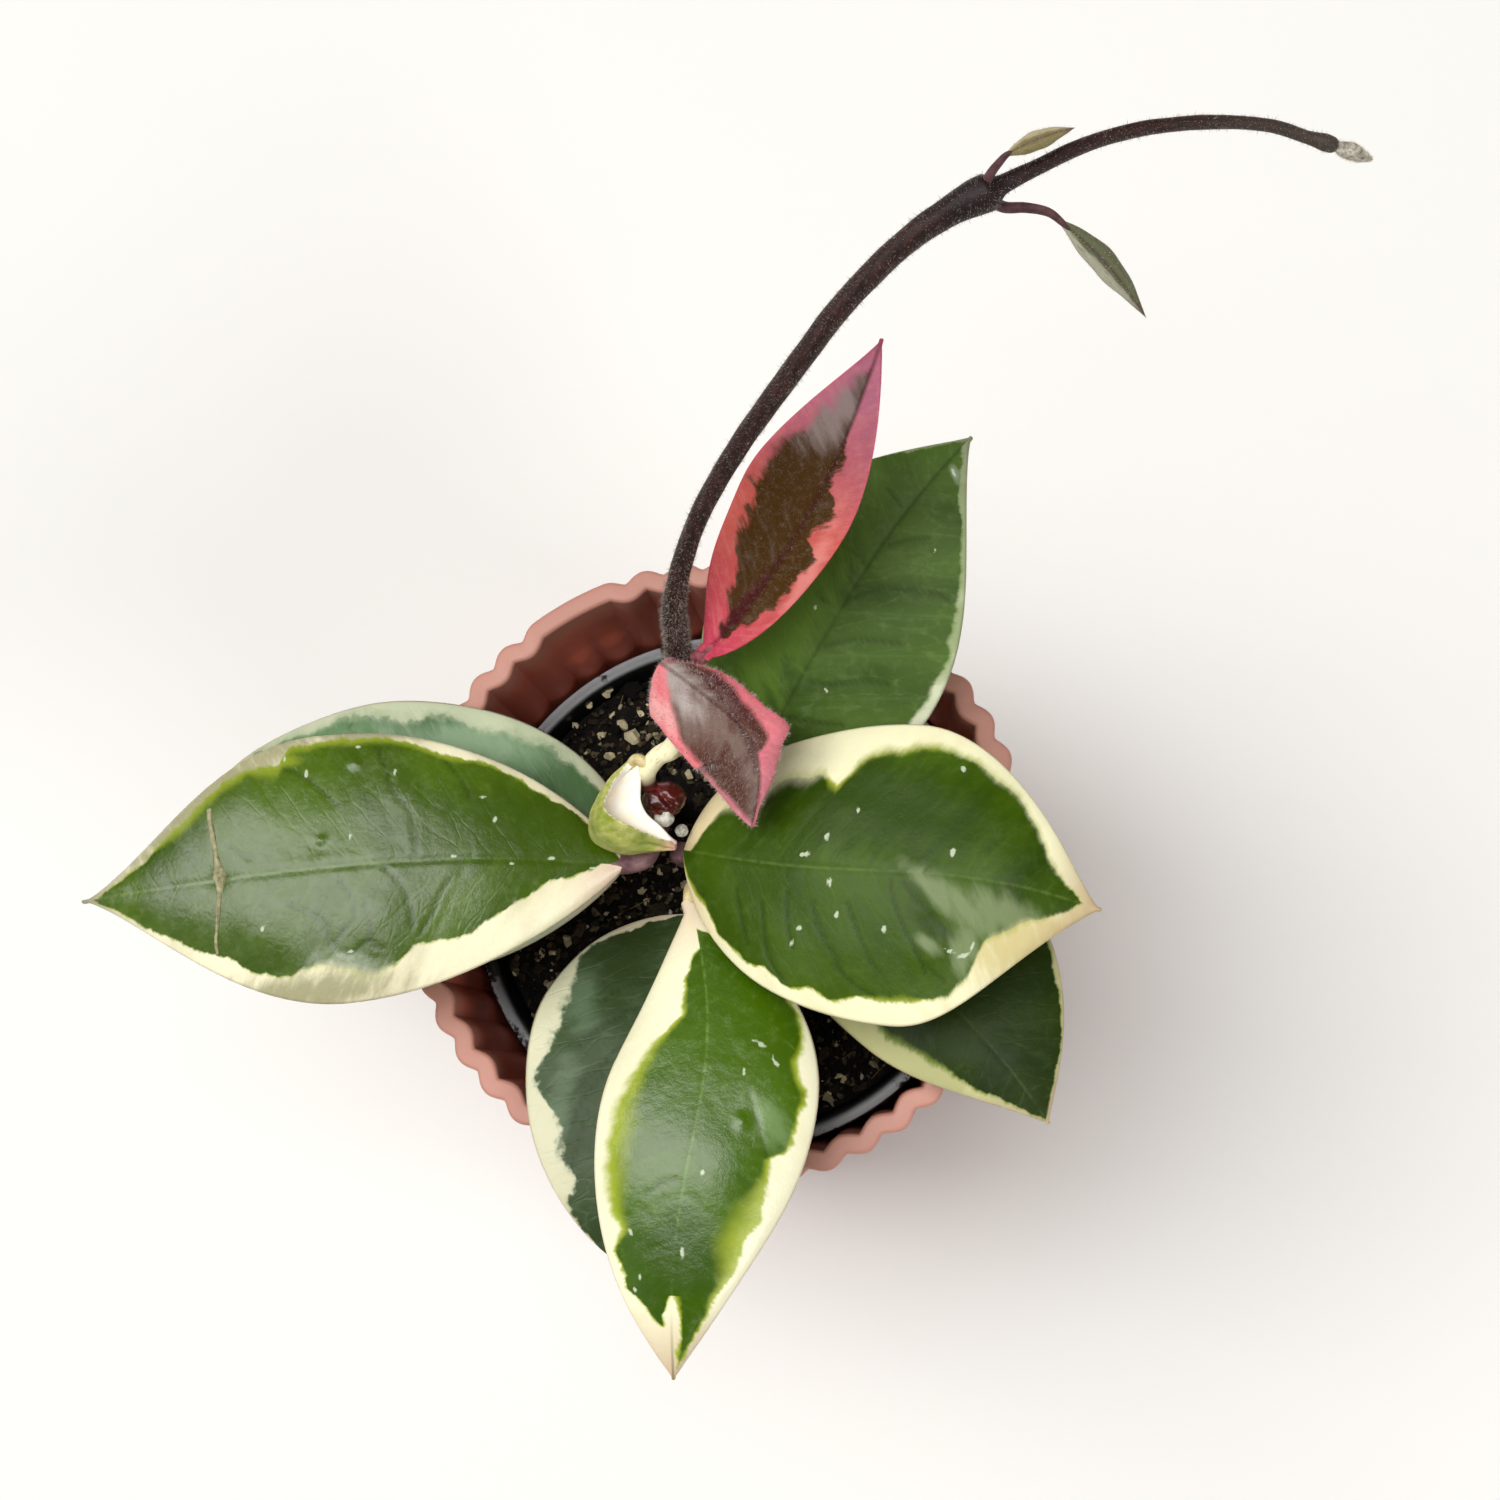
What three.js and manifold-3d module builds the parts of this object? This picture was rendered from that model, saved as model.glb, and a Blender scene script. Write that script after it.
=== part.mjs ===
// Potted wax plant with variegated leaves, in a fluted cover pot.
// Frame: origin at the middle of the cover pot's underside, +Z up, millimetres.
// The front leaf points to -Y, the widest leaf on the right to +X.

import * as THREE from 'three';
import { mergeVertices } from 'three/addons/utils/BufferGeometryUtils.js';
import Module from 'manifold-3d';

const wasm = await Module();
wasm.setup();

const UP = new THREE.Vector3(0, 0, 1);
const deg = THREE.MathUtils.degToRad;
const clamp01 = (v) => Math.min(Math.max(v, 0), 1);
const mix = (a, b, k) => a + (b - a) * k;
const vec = (p) => new THREE.Vector3(...p);

// Gap kept between pieces that touch on the real thing
const SEAT = 0.3;

// Cover pot
const POT_HEIGHT = 70;
const POT_BASE_RADIUS = 29.5;
const POT_RIM_RADIUS = 34;
const POT_WALL = 2.2;
const POT_FLOOR = 2.2;
const POT_FOOT_EDGE = 1;
const FLUTES = 48;
const FLUTE_DEPTH = 0.9;
const FLUTE_PHASE = deg(2.4);
const FLUTE_STEPS = 4;
const FLUTE_START = 4.5;
const RIM_ROUND = 0.7;
const PANEL_MIDDLE = deg(118.65);
const PANEL_HALF = deg(7.5);
const PANEL_LOW = 57;
const PANEL_FADE = 2.4;

// Nursery pot
const GROW_BASE = POT_FLOOR + SEAT;
const GROW_TOP = 52;
const GROW_LIP_OUTER = 30.1;
const GROW_LIP_INNER = 28.4;
const GROW_LIP_HIGH = 1.4;
const GROW_TOP_RADIUS = 29.3;
const GROW_BASE_RADIUS = 23;
const GROW_WALL = 0.9;
const GROW_FLOOR = 1;
const GROW_SIDES = 60;
const DRAIN_COUNT = 6;
const DRAIN_RADIUS = 2.6;
const DRAIN_RING = 14;

// Potting mix
const SOIL_TOP = 50;
const SOIL_LUMP = 1;
const SOIL_RINGS = 8;
const SOIL_SIDES = 48;
const HOLE_DEPTH = 9;
const HOLE_SIDES = 16;

// Stems
const STEM_SIDES = 10;
const MAIN_RADIUS = 1.8;
const MAIN_FOOT = [1.6, 0.6, SOIL_TOP - HOLE_DEPTH + SEAT];
const MAIN_TOP = [1.2, 0.4, 75];
const SHOOT_RADIUS = 1.5;
const SHOOT_FOOT = [-8.6, 11.9, SOIL_TOP - HOLE_DEPTH + SEAT];
const KNOT = [-3.5, 6.3, 81.4];
const KNOT_SIZE = [2.1, 2.1, 1.9];

// The young growth above the knot: place of each joint of its curve and its radius there
const SHOOT_PATH = [
  [-4.0, 5.6, 81.6, 1.2],
  [-5.2, 6.0, 82.5, 1.2],
  [-5.6, 7.0, 83.6, 1.2],
  [-5.4, 8.3, 84.8, 1.2],
  [-4.3, 9.8, 85.7, 1.3],
  [-3.2, 11.4, 86.2, 1.35],
  [-2.3, 13.8, 86.5, 1.3],
  [-1.9, 17.0, 86.7, 1.35],
  [-1.9, 19.6, 87.2, 1.55],
  [-2.0, 21.9, 89.2, 1.4],
  [-2.0, 24.3, 92.0, 1.3],
  [-1.1, 27.1, 95.3, 1.2],
  [0.5, 30.0, 99.3, 1.15],
  [2.5, 32.8, 103.0, 1.15],
  [6.5, 37.2, 108.4, 1.15],
  [12.2, 42.8, 114.1, 1.2],
  [17.3, 47.7, 118.5, 1.25],
  [22.9, 52.0, 122.4, 1.4],
  [27.0, 53.9, 124.5, 1.55],
  [30.6, 55.3, 125.5, 1.85],
  [32.4, 55.8, 125.7, 1.1],
  [35.4, 57.4, 125.4, 1.0],
  [40.0, 59.8, 124.6, 0.95],
  [45.1, 61.9, 123.0, 0.9],
  [51.0, 63.4, 121.0, 0.9],
  [57.0, 63.6, 119.0, 0.85],
  [62.4, 62.7, 117.0, 0.75],
  [64.2, 62.2, 116.4, 1.0],
  [66.0, 61.8, 115.8, 0.8],
  [67.4, 61.4, 115.3, 0.3],
];
const SHOOT_STATIONS = 58;

// A leaf: the ends of its midrib, how far that bends sideways and up, and for each side the half width,
// the place of the widest point and how full the base and the point are. Then its stalk: the bends,
// the stem it grows from, the place on that stem's middle line, and the radius.
const LEAVES = {
  leaf_left: {
    base: [-7.4, -0.5, 79], tip: [-66.8, -4.2, 82], bow: -1.2, sway: -0.3, arch: 4, droop: 3, cup: 1.5,
    left: [14.2, 0.51, 0.84, 1.42], right: [14.6, 0.53, 0.76, 1.48], thick: 1.8, colour: 0x4c6a35,
    stalk: [[-6.1, 0.3, 78.3], [-5.9, 2.6, 77.7]], from: 'shoot', joins: [-4.1, 7, 77.4], stalkRadius: 1.1,
  },
  leaf_left_under: {
    base: [-8.7, 1.7, 72], tip: [-54.7, 7.8, 76], bow: -0.3, sway: -0.35, arch: 2.5, droop: 1.5, cup: 1.5,
    left: [16.1, 0.46, 0.73, 1], right: [13.3, 0.48, 0.59, 0.66], thick: 1.7, colour: 0x6f8a78,
    stalk: [[-7.6, 2.6, 71.4], [-6.6, 4.4, 69.8]], from: 'shoot', joins: [-5.1, 8.1, 69.4], stalkRadius: 1.1,
  },
  leaf_front: {
    base: [-2, -3.9, 76], tip: [-3.3, -54, 78], bow: 1.9, sway: 1.3, arch: 3, droop: 5, cup: 2,
    left: [12, 0.41, 1.2, 1.01], right: [10.6, 0.47, 1.06, 1.03], thick: 1.8, colour: 0x53762b,
    stalk: [[-1.6, -2.9, 75.4], [-0.8, -2.1, 73.1]], from: 'main', joins: [1.24, 0.42, 72.6], stalkRadius: 1.2,
  },
  leaf_front_under: {
    base: [-1.6, -4.9, 67], tip: [-10.9, -41.4, 73], bow: -0.6, sway: 0.2, arch: 3.5, droop: 1.5, cup: 1.5,
    left: [13.3, 0.42, 0.55, 1], right: [14, 0.39, 0.54, 0.81], thick: 1.6, colour: 0x4a6153,
    stalk: [[-1.1, -3.9, 66], [-0.3, -2.7, 63.5]], from: 'main', joins: [1.35, 0.47, 63], stalkRadius: 1.1,
  },
  leaf_right: {
    base: [-2, 0.9, 79], tip: [41.3, -6.7, 87], bow: 0.25, sway: -0.65, arch: 4, droop: 3, cup: 2,
    left: [15.8, 0.54, 0.34, 1.38], right: [15.6, 0.53, 0.56, 1.25], thick: 1.9, colour: 0x46641f,
    stalk: [[-2.8, 0.9, 77.8], [-2.3, 0.8, 75.2]], from: 'main', joins: [1.23, 0.41, 74.2], stalkRadius: 1.2,
  },
  leaf_right_under: {
    base: [2.6, -1.9, 68], tip: [35.8, -27.9, 76], bow: 3.9, sway: 0, arch: 3, droop: 1, cup: 1.5,
    left: [14.3, 0.52, 0.55, 1.13], right: [9.3, 0.53, 0.64, 1.09], thick: 1.7, colour: 0x3b5528,
    stalk: [[2.3, -2.7, 67], [2, -2.8, 65.6]], from: 'main', joins: [1.3, 0.44, 65], stalkRadius: 1.1,
  },
  leaf_back: {
    base: [3.9, 8.5, 75], tip: [28.9, 43.7, 86], bow: 1.2, sway: -0.2, arch: 3, droop: 0, cup: -1,
    left: [12.8, 0.4, 0.67, 1.11], right: [14, 0.39, 0.52, 1.24], thick: 1.8, colour: 0x44612b,
    stalk: [[3.3, 7, 74], [2.2, 4.4, 70.5]], from: 'main', joins: [1.3, 0.44, 69.6], stalkRadius: 1.2,
  },
  leaf_pink_tall: {
    base: [0.6, 20.4, 87.4], tip: [20.3, 48.2, 106], bow: -2, sway: 0, arch: -2, droop: 0, cup: -2.5,
    left: [7.4, 0.52, 0.87, 1.15], right: [4.8, 0.53, 0.6, 1.23], thick: 1.2, colour: 0xb8646c,
    stalk: [[0.2, 20.2, 87.3]], from: 'joint', joins: [-1.95, 20.3, 87.6], stalkRadius: 0.9,
  },
  leaf_pink_small: {
    base: [-3.4, 18.8, 91], tip: [5.8, 2.2, 88], bow: 3.8, sway: -0.9, arch: 3.5, droop: 0, cup: 1.5,
    left: [4, 0.54, 0.75, 1.7], right: [6.5, 0.7, 0.3, 0.64], thick: 1.1, colour: 0x9a6f70,
    stalk: [[-3.8, 19.4, 90.6]], from: 'joint', joins: [-1.95, 20.2, 87.6], stalkRadius: 0.8,
  },
  bud_leaf_upper: {
    base: [32.7, 57.9, 128.9], tip: [38.9, 59.6, 130], bow: 0.2, sway: 0, arch: 0.2, droop: 0, cup: -0.2,
    left: [0.9, 0.4, 0.6, 0.9], right: [0.9, 0.4, 0.6, 0.9], thick: 1, colour: 0x9c9c80,
    stalk: [[31.7, 57.7, 128.6], [31, 57.3, 127.9]], from: 'tip', joins: [30.5, 55.3, 125.5], stalkRadius: 0.55,
  },
  bud_leaf_lower: {
    base: [38, 53.4, 122.4], tip: [45.6, 45.8, 117], bow: 0.5, sway: 0, arch: 0.6, droop: 0, cup: -0.3,
    left: [1.3, 0.5, 0.8, 0.9], right: [1.3, 0.5, 0.8, 0.9], thick: 1, colour: 0x6f6a58,
    stalk: [[36.4, 54.5, 123], [34.2, 54.6, 123.1], [32.4, 54.2, 123.1]], from: 'tip',
    joins: [30.8, 55.3, 125.5], stalkRadius: 0.6,
  },
};

// The curled leaf is a small boat: its keel, the edge that curls over it and the edge on the far side
const CURL_KEEL = [
  [-6.9, 9.6, 84.3], [-8.9, 8.1, 83.8], [-10.3, 6.3, 83.3], [-11.5, 4.1, 82.9],
  [-11.2, 1.7, 82.6], [-8.6, 0.6, 82.5], [-5.4, 0.7, 82.8], [-2.6, 1, 83.3],
];
const CURL_NEAR = [
  [-7.3, 9.8, 84.9], [-8.6, 8.2, 85.6], [-9.5, 6.4, 86.4], [-9.8, 4.8, 87],
  [-8.8, 3.5, 87], [-6.6, 2.5, 86.4], [-4.5, 1.6, 84.9], [-2.6, 1.1, 83.7],
];
const CURL_FAR = [
  [-6.5, 9.6, 84.7], [-7.1, 8.7, 84.3], [-7.2, 7.4, 84], [-7, 5.6, 83.7],
  [-6.2, 4.1, 83.7], [-4.9, 3.1, 84], [-3.7, 1.9, 83.9], [-2.5, 1.3, 83.5],
];
const CURL_THICK = 0.9;
const CURL_SAG = 0.4;
const CURL_BULGE = 0.9;
const CURL_STATIONS = 17;
const CURL_STEP = 0.01;
const CURL = {
  stalk: [[-6.8, 9.9, 84.8]], joins: [-4.8, 9, 85.3], stalkRadius: 0.7, colour: 0xd9dcae,
};

// Plastic, leaf, stem and soil looks
const finish = (colour, roughness) => new THREE.MeshStandardMaterial({ color: colour, roughness, metalness: 0 });

// Closed solid from rings of points, capped by a middle point at both ends
function ringSolid(rings, first, last) {
  const points = [first, ...rings.flat(), last];
  const count = rings[0].length;
  const faces = [];
  const at = (ring, i) => 1 + ring * count + (i % count);
  for (let i = 0; i < count; i += 1) {
    faces.push(0, at(0, i + 1), at(0, i));
    faces.push(points.length - 1, at(rings.length - 1, i), at(rings.length - 1, i + 1));
    for (let ring = 0; ring + 1 < rings.length; ring += 1) {
      faces.push(at(ring, i), at(ring, i + 1), at(ring + 1, i + 1));
      faces.push(at(ring, i), at(ring + 1, i + 1), at(ring + 1, i));
    }
  }
  return geometryOf(points, faces);
}

function geometryOf(points, faces) {
  const geometry = new THREE.BufferGeometry();
  const flat = new Float32Array(points.flatMap((p) => [p.x, p.y, p.z]));
  geometry.setAttribute('position', new THREE.BufferAttribute(flat, 3));
  geometry.setIndex(faces);
  return geometry;
}

// Booleans
function toManifold(geometry) {
  const plain = geometry.clone();
  plain.deleteAttribute('normal');
  plain.deleteAttribute('uv');
  const merged = mergeVertices(plain, 1e-4);
  return new wasm.Manifold(new wasm.Mesh({
    numProp: 3,
    vertProperties: new Float32Array(merged.attributes.position.array),
    triVerts: new Uint32Array(merged.index.array),
  }));
}

function fromManifold(solid) {
  const mesh = solid.getMesh();
  const geometry = new THREE.BufferGeometry();
  geometry.setAttribute('position', new THREE.BufferAttribute(new Float32Array(mesh.vertProperties), 3));
  geometry.setIndex(new THREE.BufferAttribute(new Uint32Array(mesh.triVerts), 1));
  return geometry;
}

const unite = (parts) => fromManifold(parts.map(toManifold).reduce((a, b) => a.add(b)));
const cut = (body, tools) => fromManifold(tools.map(toManifold).reduce((a, b) => a.subtract(b), toManifold(body)));

// Round tube through points, with a radius at each and rounded ends
function tube(path, radii, sides) {
  const rings = [];
  let across = null;
  path.forEach((point, i) => {
    const before = path[Math.max(i - 1, 0)];
    const after = path[Math.min(i + 1, path.length - 1)];
    const along = after.clone().sub(before).normalize();
    const guess = across ?? (Math.abs(along.z) < 0.9 ? UP : new THREE.Vector3(1, 0, 0));
    across = guess.clone().addScaledVector(along, -guess.dot(along)).normalize();
    const third = along.clone().cross(across);
    const ring = [];
    for (let k = 0; k < sides; k += 1) {
      const a = (k / sides) * 2 * Math.PI;
      const out = across.clone().multiplyScalar(Math.cos(a)).addScaledVector(third, Math.sin(a));
      ring.push(point.clone().addScaledVector(out, radii[i]));
    }
    rings.push(ring);
  });
  return ringSolid(rings, path[0].clone(), path[path.length - 1].clone());
}

// Cover pot: round flutes outside, round flutes inside half a pitch on, plain at the panel and the foot
function panelShare(angle, high) {
  const off = Math.abs(Math.atan2(Math.sin(angle - PANEL_MIDDLE), Math.cos(angle - PANEL_MIDDLE)));
  return off < PANEL_HALF ? clamp01((high - PANEL_LOW) / PANEL_FADE) : 0;
}

const potSlope = (high) => mix(POT_BASE_RADIUS, POT_RIM_RADIUS, high / POT_HEIGHT);

function outerRadius(angle, high, fluted) {
  const rise = Math.abs(Math.sin((angle - FLUTE_PHASE) * FLUTES / 2));
  return potSlope(high) + fluted * FLUTE_DEPTH * mix(rise, 1, panelShare(angle, high));
}

function innerRadius(angle, high, fluted) {
  const lobe = Math.abs(Math.cos((angle - FLUTE_PHASE) * FLUTES / 2));
  return potSlope(high) - POT_WALL + fluted * FLUTE_DEPTH * (1 - mix(lobe, 0, panelShare(angle, high)));
}

function outerPot() {
  const count = FLUTES * FLUTE_STEPS;
  const ring = (radiusAt, high, fluted, inset = 0) => {
    const points = [];
    for (let i = 0; i < count; i += 1) {
      const angle = FLUTE_PHASE + (i / count) * 2 * Math.PI;
      const radius = radiusAt(angle, high, fluted) - inset;
      points.push(new THREE.Vector3(radius * Math.cos(angle), radius * Math.sin(angle), high));
    }
    return points;
  };
  const shoulder = POT_HEIGHT - RIM_ROUND;
  const outside = [
    ring(outerRadius, 0, 0, POT_FOOT_EDGE),
    ring(outerRadius, POT_FOOT_EDGE, 0),
    ring(outerRadius, FLUTE_START, 1),
    ring(outerRadius, PANEL_LOW, 1),
    ring(outerRadius, PANEL_LOW + PANEL_FADE, 1),
    ring(outerRadius, shoulder, 1),
    ring(outerRadius, POT_HEIGHT, 1, RIM_ROUND),
  ];
  const inside = [
    ring(innerRadius, POT_HEIGHT, 1, -RIM_ROUND),
    ring(innerRadius, shoulder, 1),
    ring(innerRadius, PANEL_LOW + PANEL_FADE, 1),
    ring(innerRadius, PANEL_LOW, 1),
    ring(innerRadius, FLUTE_START, 1),
    ring(innerRadius, POT_FLOOR, 0),
  ];
  const rings = [...outside, ...inside];
  return ringSolid(rings, new THREE.Vector3(0, 0, 0), new THREE.Vector3(0, 0, POT_FLOOR));
}

// Nursery pot
const growRadius = (high) => mix(GROW_BASE_RADIUS, GROW_TOP_RADIUS, (high - GROW_BASE) / (GROW_TOP - GROW_BASE));

function growPot() {
  const lipLow = GROW_TOP - GROW_LIP_HIGH;
  const profile = [
    [0, GROW_BASE],
    [growRadius(GROW_BASE), GROW_BASE],
    [growRadius(lipLow), lipLow],
    [GROW_LIP_OUTER, lipLow],
    [GROW_LIP_OUTER, GROW_TOP],
    [GROW_LIP_INNER, GROW_TOP],
    [growRadius(lipLow) - GROW_WALL, lipLow],
    [growRadius(GROW_BASE + GROW_FLOOR) - GROW_WALL, GROW_BASE + GROW_FLOOR],
    [0, GROW_BASE + GROW_FLOOR],
  ];
  const body = new THREE.LatheGeometry(profile.map((p) => new THREE.Vector2(...p)), GROW_SIDES);
  body.rotateX(Math.PI / 2);
  const holes = [];
  for (let i = 0; i < DRAIN_COUNT; i += 1) {
    const angle = (i / DRAIN_COUNT) * 2 * Math.PI;
    const hole = new THREE.CylinderGeometry(DRAIN_RADIUS, DRAIN_RADIUS, GROW_FLOOR * 3, HOLE_SIDES);
    hole.rotateX(Math.PI / 2);
    hole.translate(DRAIN_RING * Math.cos(angle), DRAIN_RING * Math.sin(angle), GROW_BASE + GROW_FLOOR / 2);
    holes.push(hole);
  }
  return cut(body, holes);
}

// Potting mix: a plug that follows the nursery pot, with a lumpy top and a hole for each stem
function soilHeight(x, y) {
  const slow = Math.sin(x * 0.31 + 1.3) * Math.cos(y * 0.27 - 0.4);
  const fast = Math.sin(x * 0.83 - y * 0.61) * Math.sin(y * 0.92 + 0.7);
  return SOIL_TOP + SOIL_LUMP * (0.6 * slow + 0.4 * fast);
}

function soil() {
  const low = GROW_BASE + GROW_FLOOR + SEAT;
  const inner = (high) => growRadius(high) - GROW_WALL - SEAT;
  const ring = (radius, height) => {
    const points = [];
    for (let i = 0; i < SOIL_SIDES; i += 1) {
      const angle = (i / SOIL_SIDES) * 2 * Math.PI;
      const x = radius * Math.cos(angle);
      const y = radius * Math.sin(angle);
      points.push(new THREE.Vector3(x, y, height ?? soilHeight(x, y)));
    }
    return points;
  };
  const edge = inner(SOIL_TOP - SOIL_LUMP * 2);
  const rings = [ring(inner(low), low), ring(edge, SOIL_TOP - SOIL_LUMP * 2)];
  for (let i = 0; i < SOIL_RINGS; i += 1) {
    rings.push(ring(edge * (1 - i / SOIL_RINGS) - SEAT));
  }
  const body = ringSolid(rings, new THREE.Vector3(0, 0, low), new THREE.Vector3(0, 0, soilHeight(0, 0)));
  const hole = (foot, radius, lean) => {
    const axis = vec(lean).sub(vec(foot)).normalize();
    const start = vec(foot).addScaledVector(axis, -SEAT);
    const end = vec(foot).addScaledVector(axis, HOLE_DEPTH * 1.6);
    return tube([start, end], [radius + SEAT, radius + SEAT], HOLE_SIDES);
  };
  return cut(body, [hole(MAIN_FOOT, MAIN_RADIUS, MAIN_TOP), hole(SHOOT_FOOT, SHOOT_RADIUS, KNOT)]);
}

// Stems
function blob(centre, size, sides) {
  const geometry = new THREE.SphereGeometry(1, sides, sides / 2);
  geometry.scale(...size);
  geometry.translate(...centre);
  return geometry;
}

function mainStem() {
  // Place along the stem and size there: it swells where a pair of leaves grows
  const joints = [
    [0, 1], [0.58, 1], [0.66, 1.2], [0.71, 1.05], [0.78, 1], [0.85, 1.2], [0.9, 1], [0.96, 1.15], [1, 0.7],
  ];
  const path = joints.map(([k]) => vec(MAIN_FOOT).lerp(vec(MAIN_TOP), k));
  return tube(path, joints.map(([, size]) => size * MAIN_RADIUS), STEM_SIDES);
}

function shootStem() {
  const joints = [[0, 1], [0.3, 0.95], [0.72, 0.95], [0.8, 1.1], [0.88, 0.95], [0.97, 1]];
  const lower = joints.map(([k]) => vec(SHOOT_FOOT).lerp(vec(KNOT), k));
  const curve = new THREE.CatmullRomCurve3(SHOOT_PATH.map((p) => vec(p)), false, 'centripetal');
  const upper = [];
  const radii = [];
  for (let i = 0; i < SHOOT_STATIONS; i += 1) {
    const place = (i / (SHOOT_STATIONS - 1)) * (SHOOT_PATH.length - 1);
    const step = Math.min(Math.floor(place), SHOOT_PATH.length - 2);
    upper.push(curve.getPoint(place / (SHOOT_PATH.length - 1)));
    radii.push(mix(SHOOT_PATH[step][3], SHOOT_PATH[step + 1][3], place - step));
  }
  return unite([
    tube(lower, joints.map(([, size]) => size * SHOOT_RADIUS), STEM_SIDES),
    blob(KNOT, KNOT_SIZE, STEM_SIDES + 2),
    tube(upper, radii, STEM_SIDES),
  ]);
}

// Leaves
const LEAF_STATIONS = 17;
const LEAF_COLUMNS = [-1, -0.62, -0.22, 0, 0.22, 0.62, 1];
const LEAF_EDGE = 0.8;
const RIB_GROOVE = 0.35;
const TIP_HALF = 0.35;
const BASE_HALF = 1.1;
const STALK_SIDES = 8;
const STALK_SUNK = 0.06;

function sideWidth([half, widest, base, point], t) {
  const u = t < widest ? (widest - t) / widest : (t - widest) / (1 - widest);
  return half * Math.pow(Math.max(1 - u * u, 0), t < widest ? base : point);
}

// Point, direction, left and top side of a midrib
function ribFrame(leaf, t) {
  const base = vec(leaf.base);
  const chord = vec(leaf.tip).sub(base);
  chord.z += leaf.droop;
  const side = new THREE.Vector3(-chord.y, chord.x, 0).normalize();
  const hump = 4 * t * (1 - t);
  const slope = 4 - 8 * t;
  const turn = 2 * Math.PI;
  const sideways = hump * leaf.bow + leaf.sway * Math.sin(turn * t);
  const sidewaysSlope = slope * leaf.bow + leaf.sway * turn * Math.cos(turn * t);
  const point = base.addScaledVector(chord, t).addScaledVector(side, sideways);
  point.z += hump * leaf.arch - leaf.droop * t ** 3;
  const along = chord.clone().addScaledVector(side, sidewaysSlope);
  along.z += slope * leaf.arch - 3 * leaf.droop * t ** 2;
  along.normalize();
  const left = UP.clone().cross(along).normalize();
  const top = along.clone().cross(left);
  return { point, along, left, top };
}

const baseHalf = (leaf) => Math.min(BASE_HALF, leaf.left[0] / 2);

function leafPoint(leaf, t, s, face) {
  const { point, left, top } = ribFrame(leaf, t);
  const shape = s >= 0 ? leaf.left : leaf.right;
  const least = mix(baseHalf(leaf), TIP_HALF, t);
  const wide = Math.max(sideWidth(shape, t), least);
  const fall = leaf.cup * s * s * wide / shape[0];
  const groove = s === 0 ? RIB_GROOVE : 0;
  const thick = mix(leaf.thick, LEAF_EDGE, s * s);
  return point.clone()
    .addScaledVector(left, wide * s)
    .addScaledVector(top, face * thick / 2 - fall - groove);
}

// Point of the curled leaf: a bulged curve from the keel to one of its edges
const guideAt = (guide, t) => new THREE.CatmullRomCurve3(guide.map((p) => vec(p))).getPoint(t);

function curledPoint(t, s, face) {
  const keel = guideAt(CURL_KEEL, t);
  const far = guideAt(CURL_FAR, t);
  const near = guideAt(CURL_NEAR, t);
  const edge = s >= 0 ? far : near;
  const middle = keel.clone().lerp(edge, 0.5);
  const swell = Math.sin(Math.PI * t);
  if (s >= 0) {
    middle.z -= CURL_SAG * swell;
  } else {
    middle.addScaledVector(keel.clone().sub(far).setZ(0).normalize(), CURL_BULGE * swell);
  }
  const k = Math.abs(s);
  const point = keel.clone().multiplyScalar((1 - k) ** 2)
    .addScaledVector(middle, 2 * k * (1 - k))
    .addScaledVector(edge, k * k);
  const across = s === 0
    ? far.clone().sub(near).normalize()
    : middle.clone().sub(keel).multiplyScalar(1 - k).addScaledVector(edge.clone().sub(middle), k)
      .multiplyScalar(Math.sign(s)).normalize();
  const ahead = guideAt(CURL_KEEL, Math.min(t + CURL_STEP, 1));
  const along = ahead.sub(guideAt(CURL_KEEL, Math.max(t - CURL_STEP, 0))).normalize();
  const top = along.cross(across).normalize();
  return point.addScaledVector(top, face * mix(CURL_THICK, LEAF_EDGE, k) / 2);
}

// Closed sheet: the same grid on its top and underside, joined along its edges and ends
function sheet(count, pointAt) {
  const points = [];
  const faces = [];
  const wide = LEAF_COLUMNS.length;
  const stations = [];
  for (let i = 0; i < count; i += 1) {
    stations.push((1 - Math.cos((i / (count - 1)) * Math.PI)) / 2);
  }
  [1, -1].forEach((face) => stations.forEach((t) => LEAF_COLUMNS.forEach((s) => {
    points.push(pointAt(t, s, face));
  })));
  const under = stations.length * wide;
  const quad = (a, b, c, d) => faces.push(a, b, c, a, c, d);
  for (let i = 0; i + 1 < stations.length; i += 1) {
    for (let k = 0; k + 1 < wide; k += 1) {
      const a = i * wide + k;
      const b = a + wide;
      faces.push(a, b, b + 1, a, b + 1, a + 1);
      faces.push(under + a, under + b + 1, under + b, under + a, under + a + 1, under + b + 1);
    }
    const right = i * wide;
    quad(right, under + right, under + right + wide, right + wide);
    const left = right + wide - 1;
    quad(left, left + wide, under + left + wide, under + left);
  }
  const last = (stations.length - 1) * wide;
  for (let k = 0; k + 1 < wide; k += 1) {
    quad(k, k + 1, under + k + 1, under + k);
    quad(last + k + 1, last + k, under + last + k, under + last + k + 1);
  }
  return geometryOf(points, faces);
}

const blade = (leaf) => sheet(LEAF_STATIONS, (t, s, face) => leafPoint(leaf, t, s, face));
const curledBlade = () => sheet(CURL_STATIONS, curledPoint);

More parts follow.
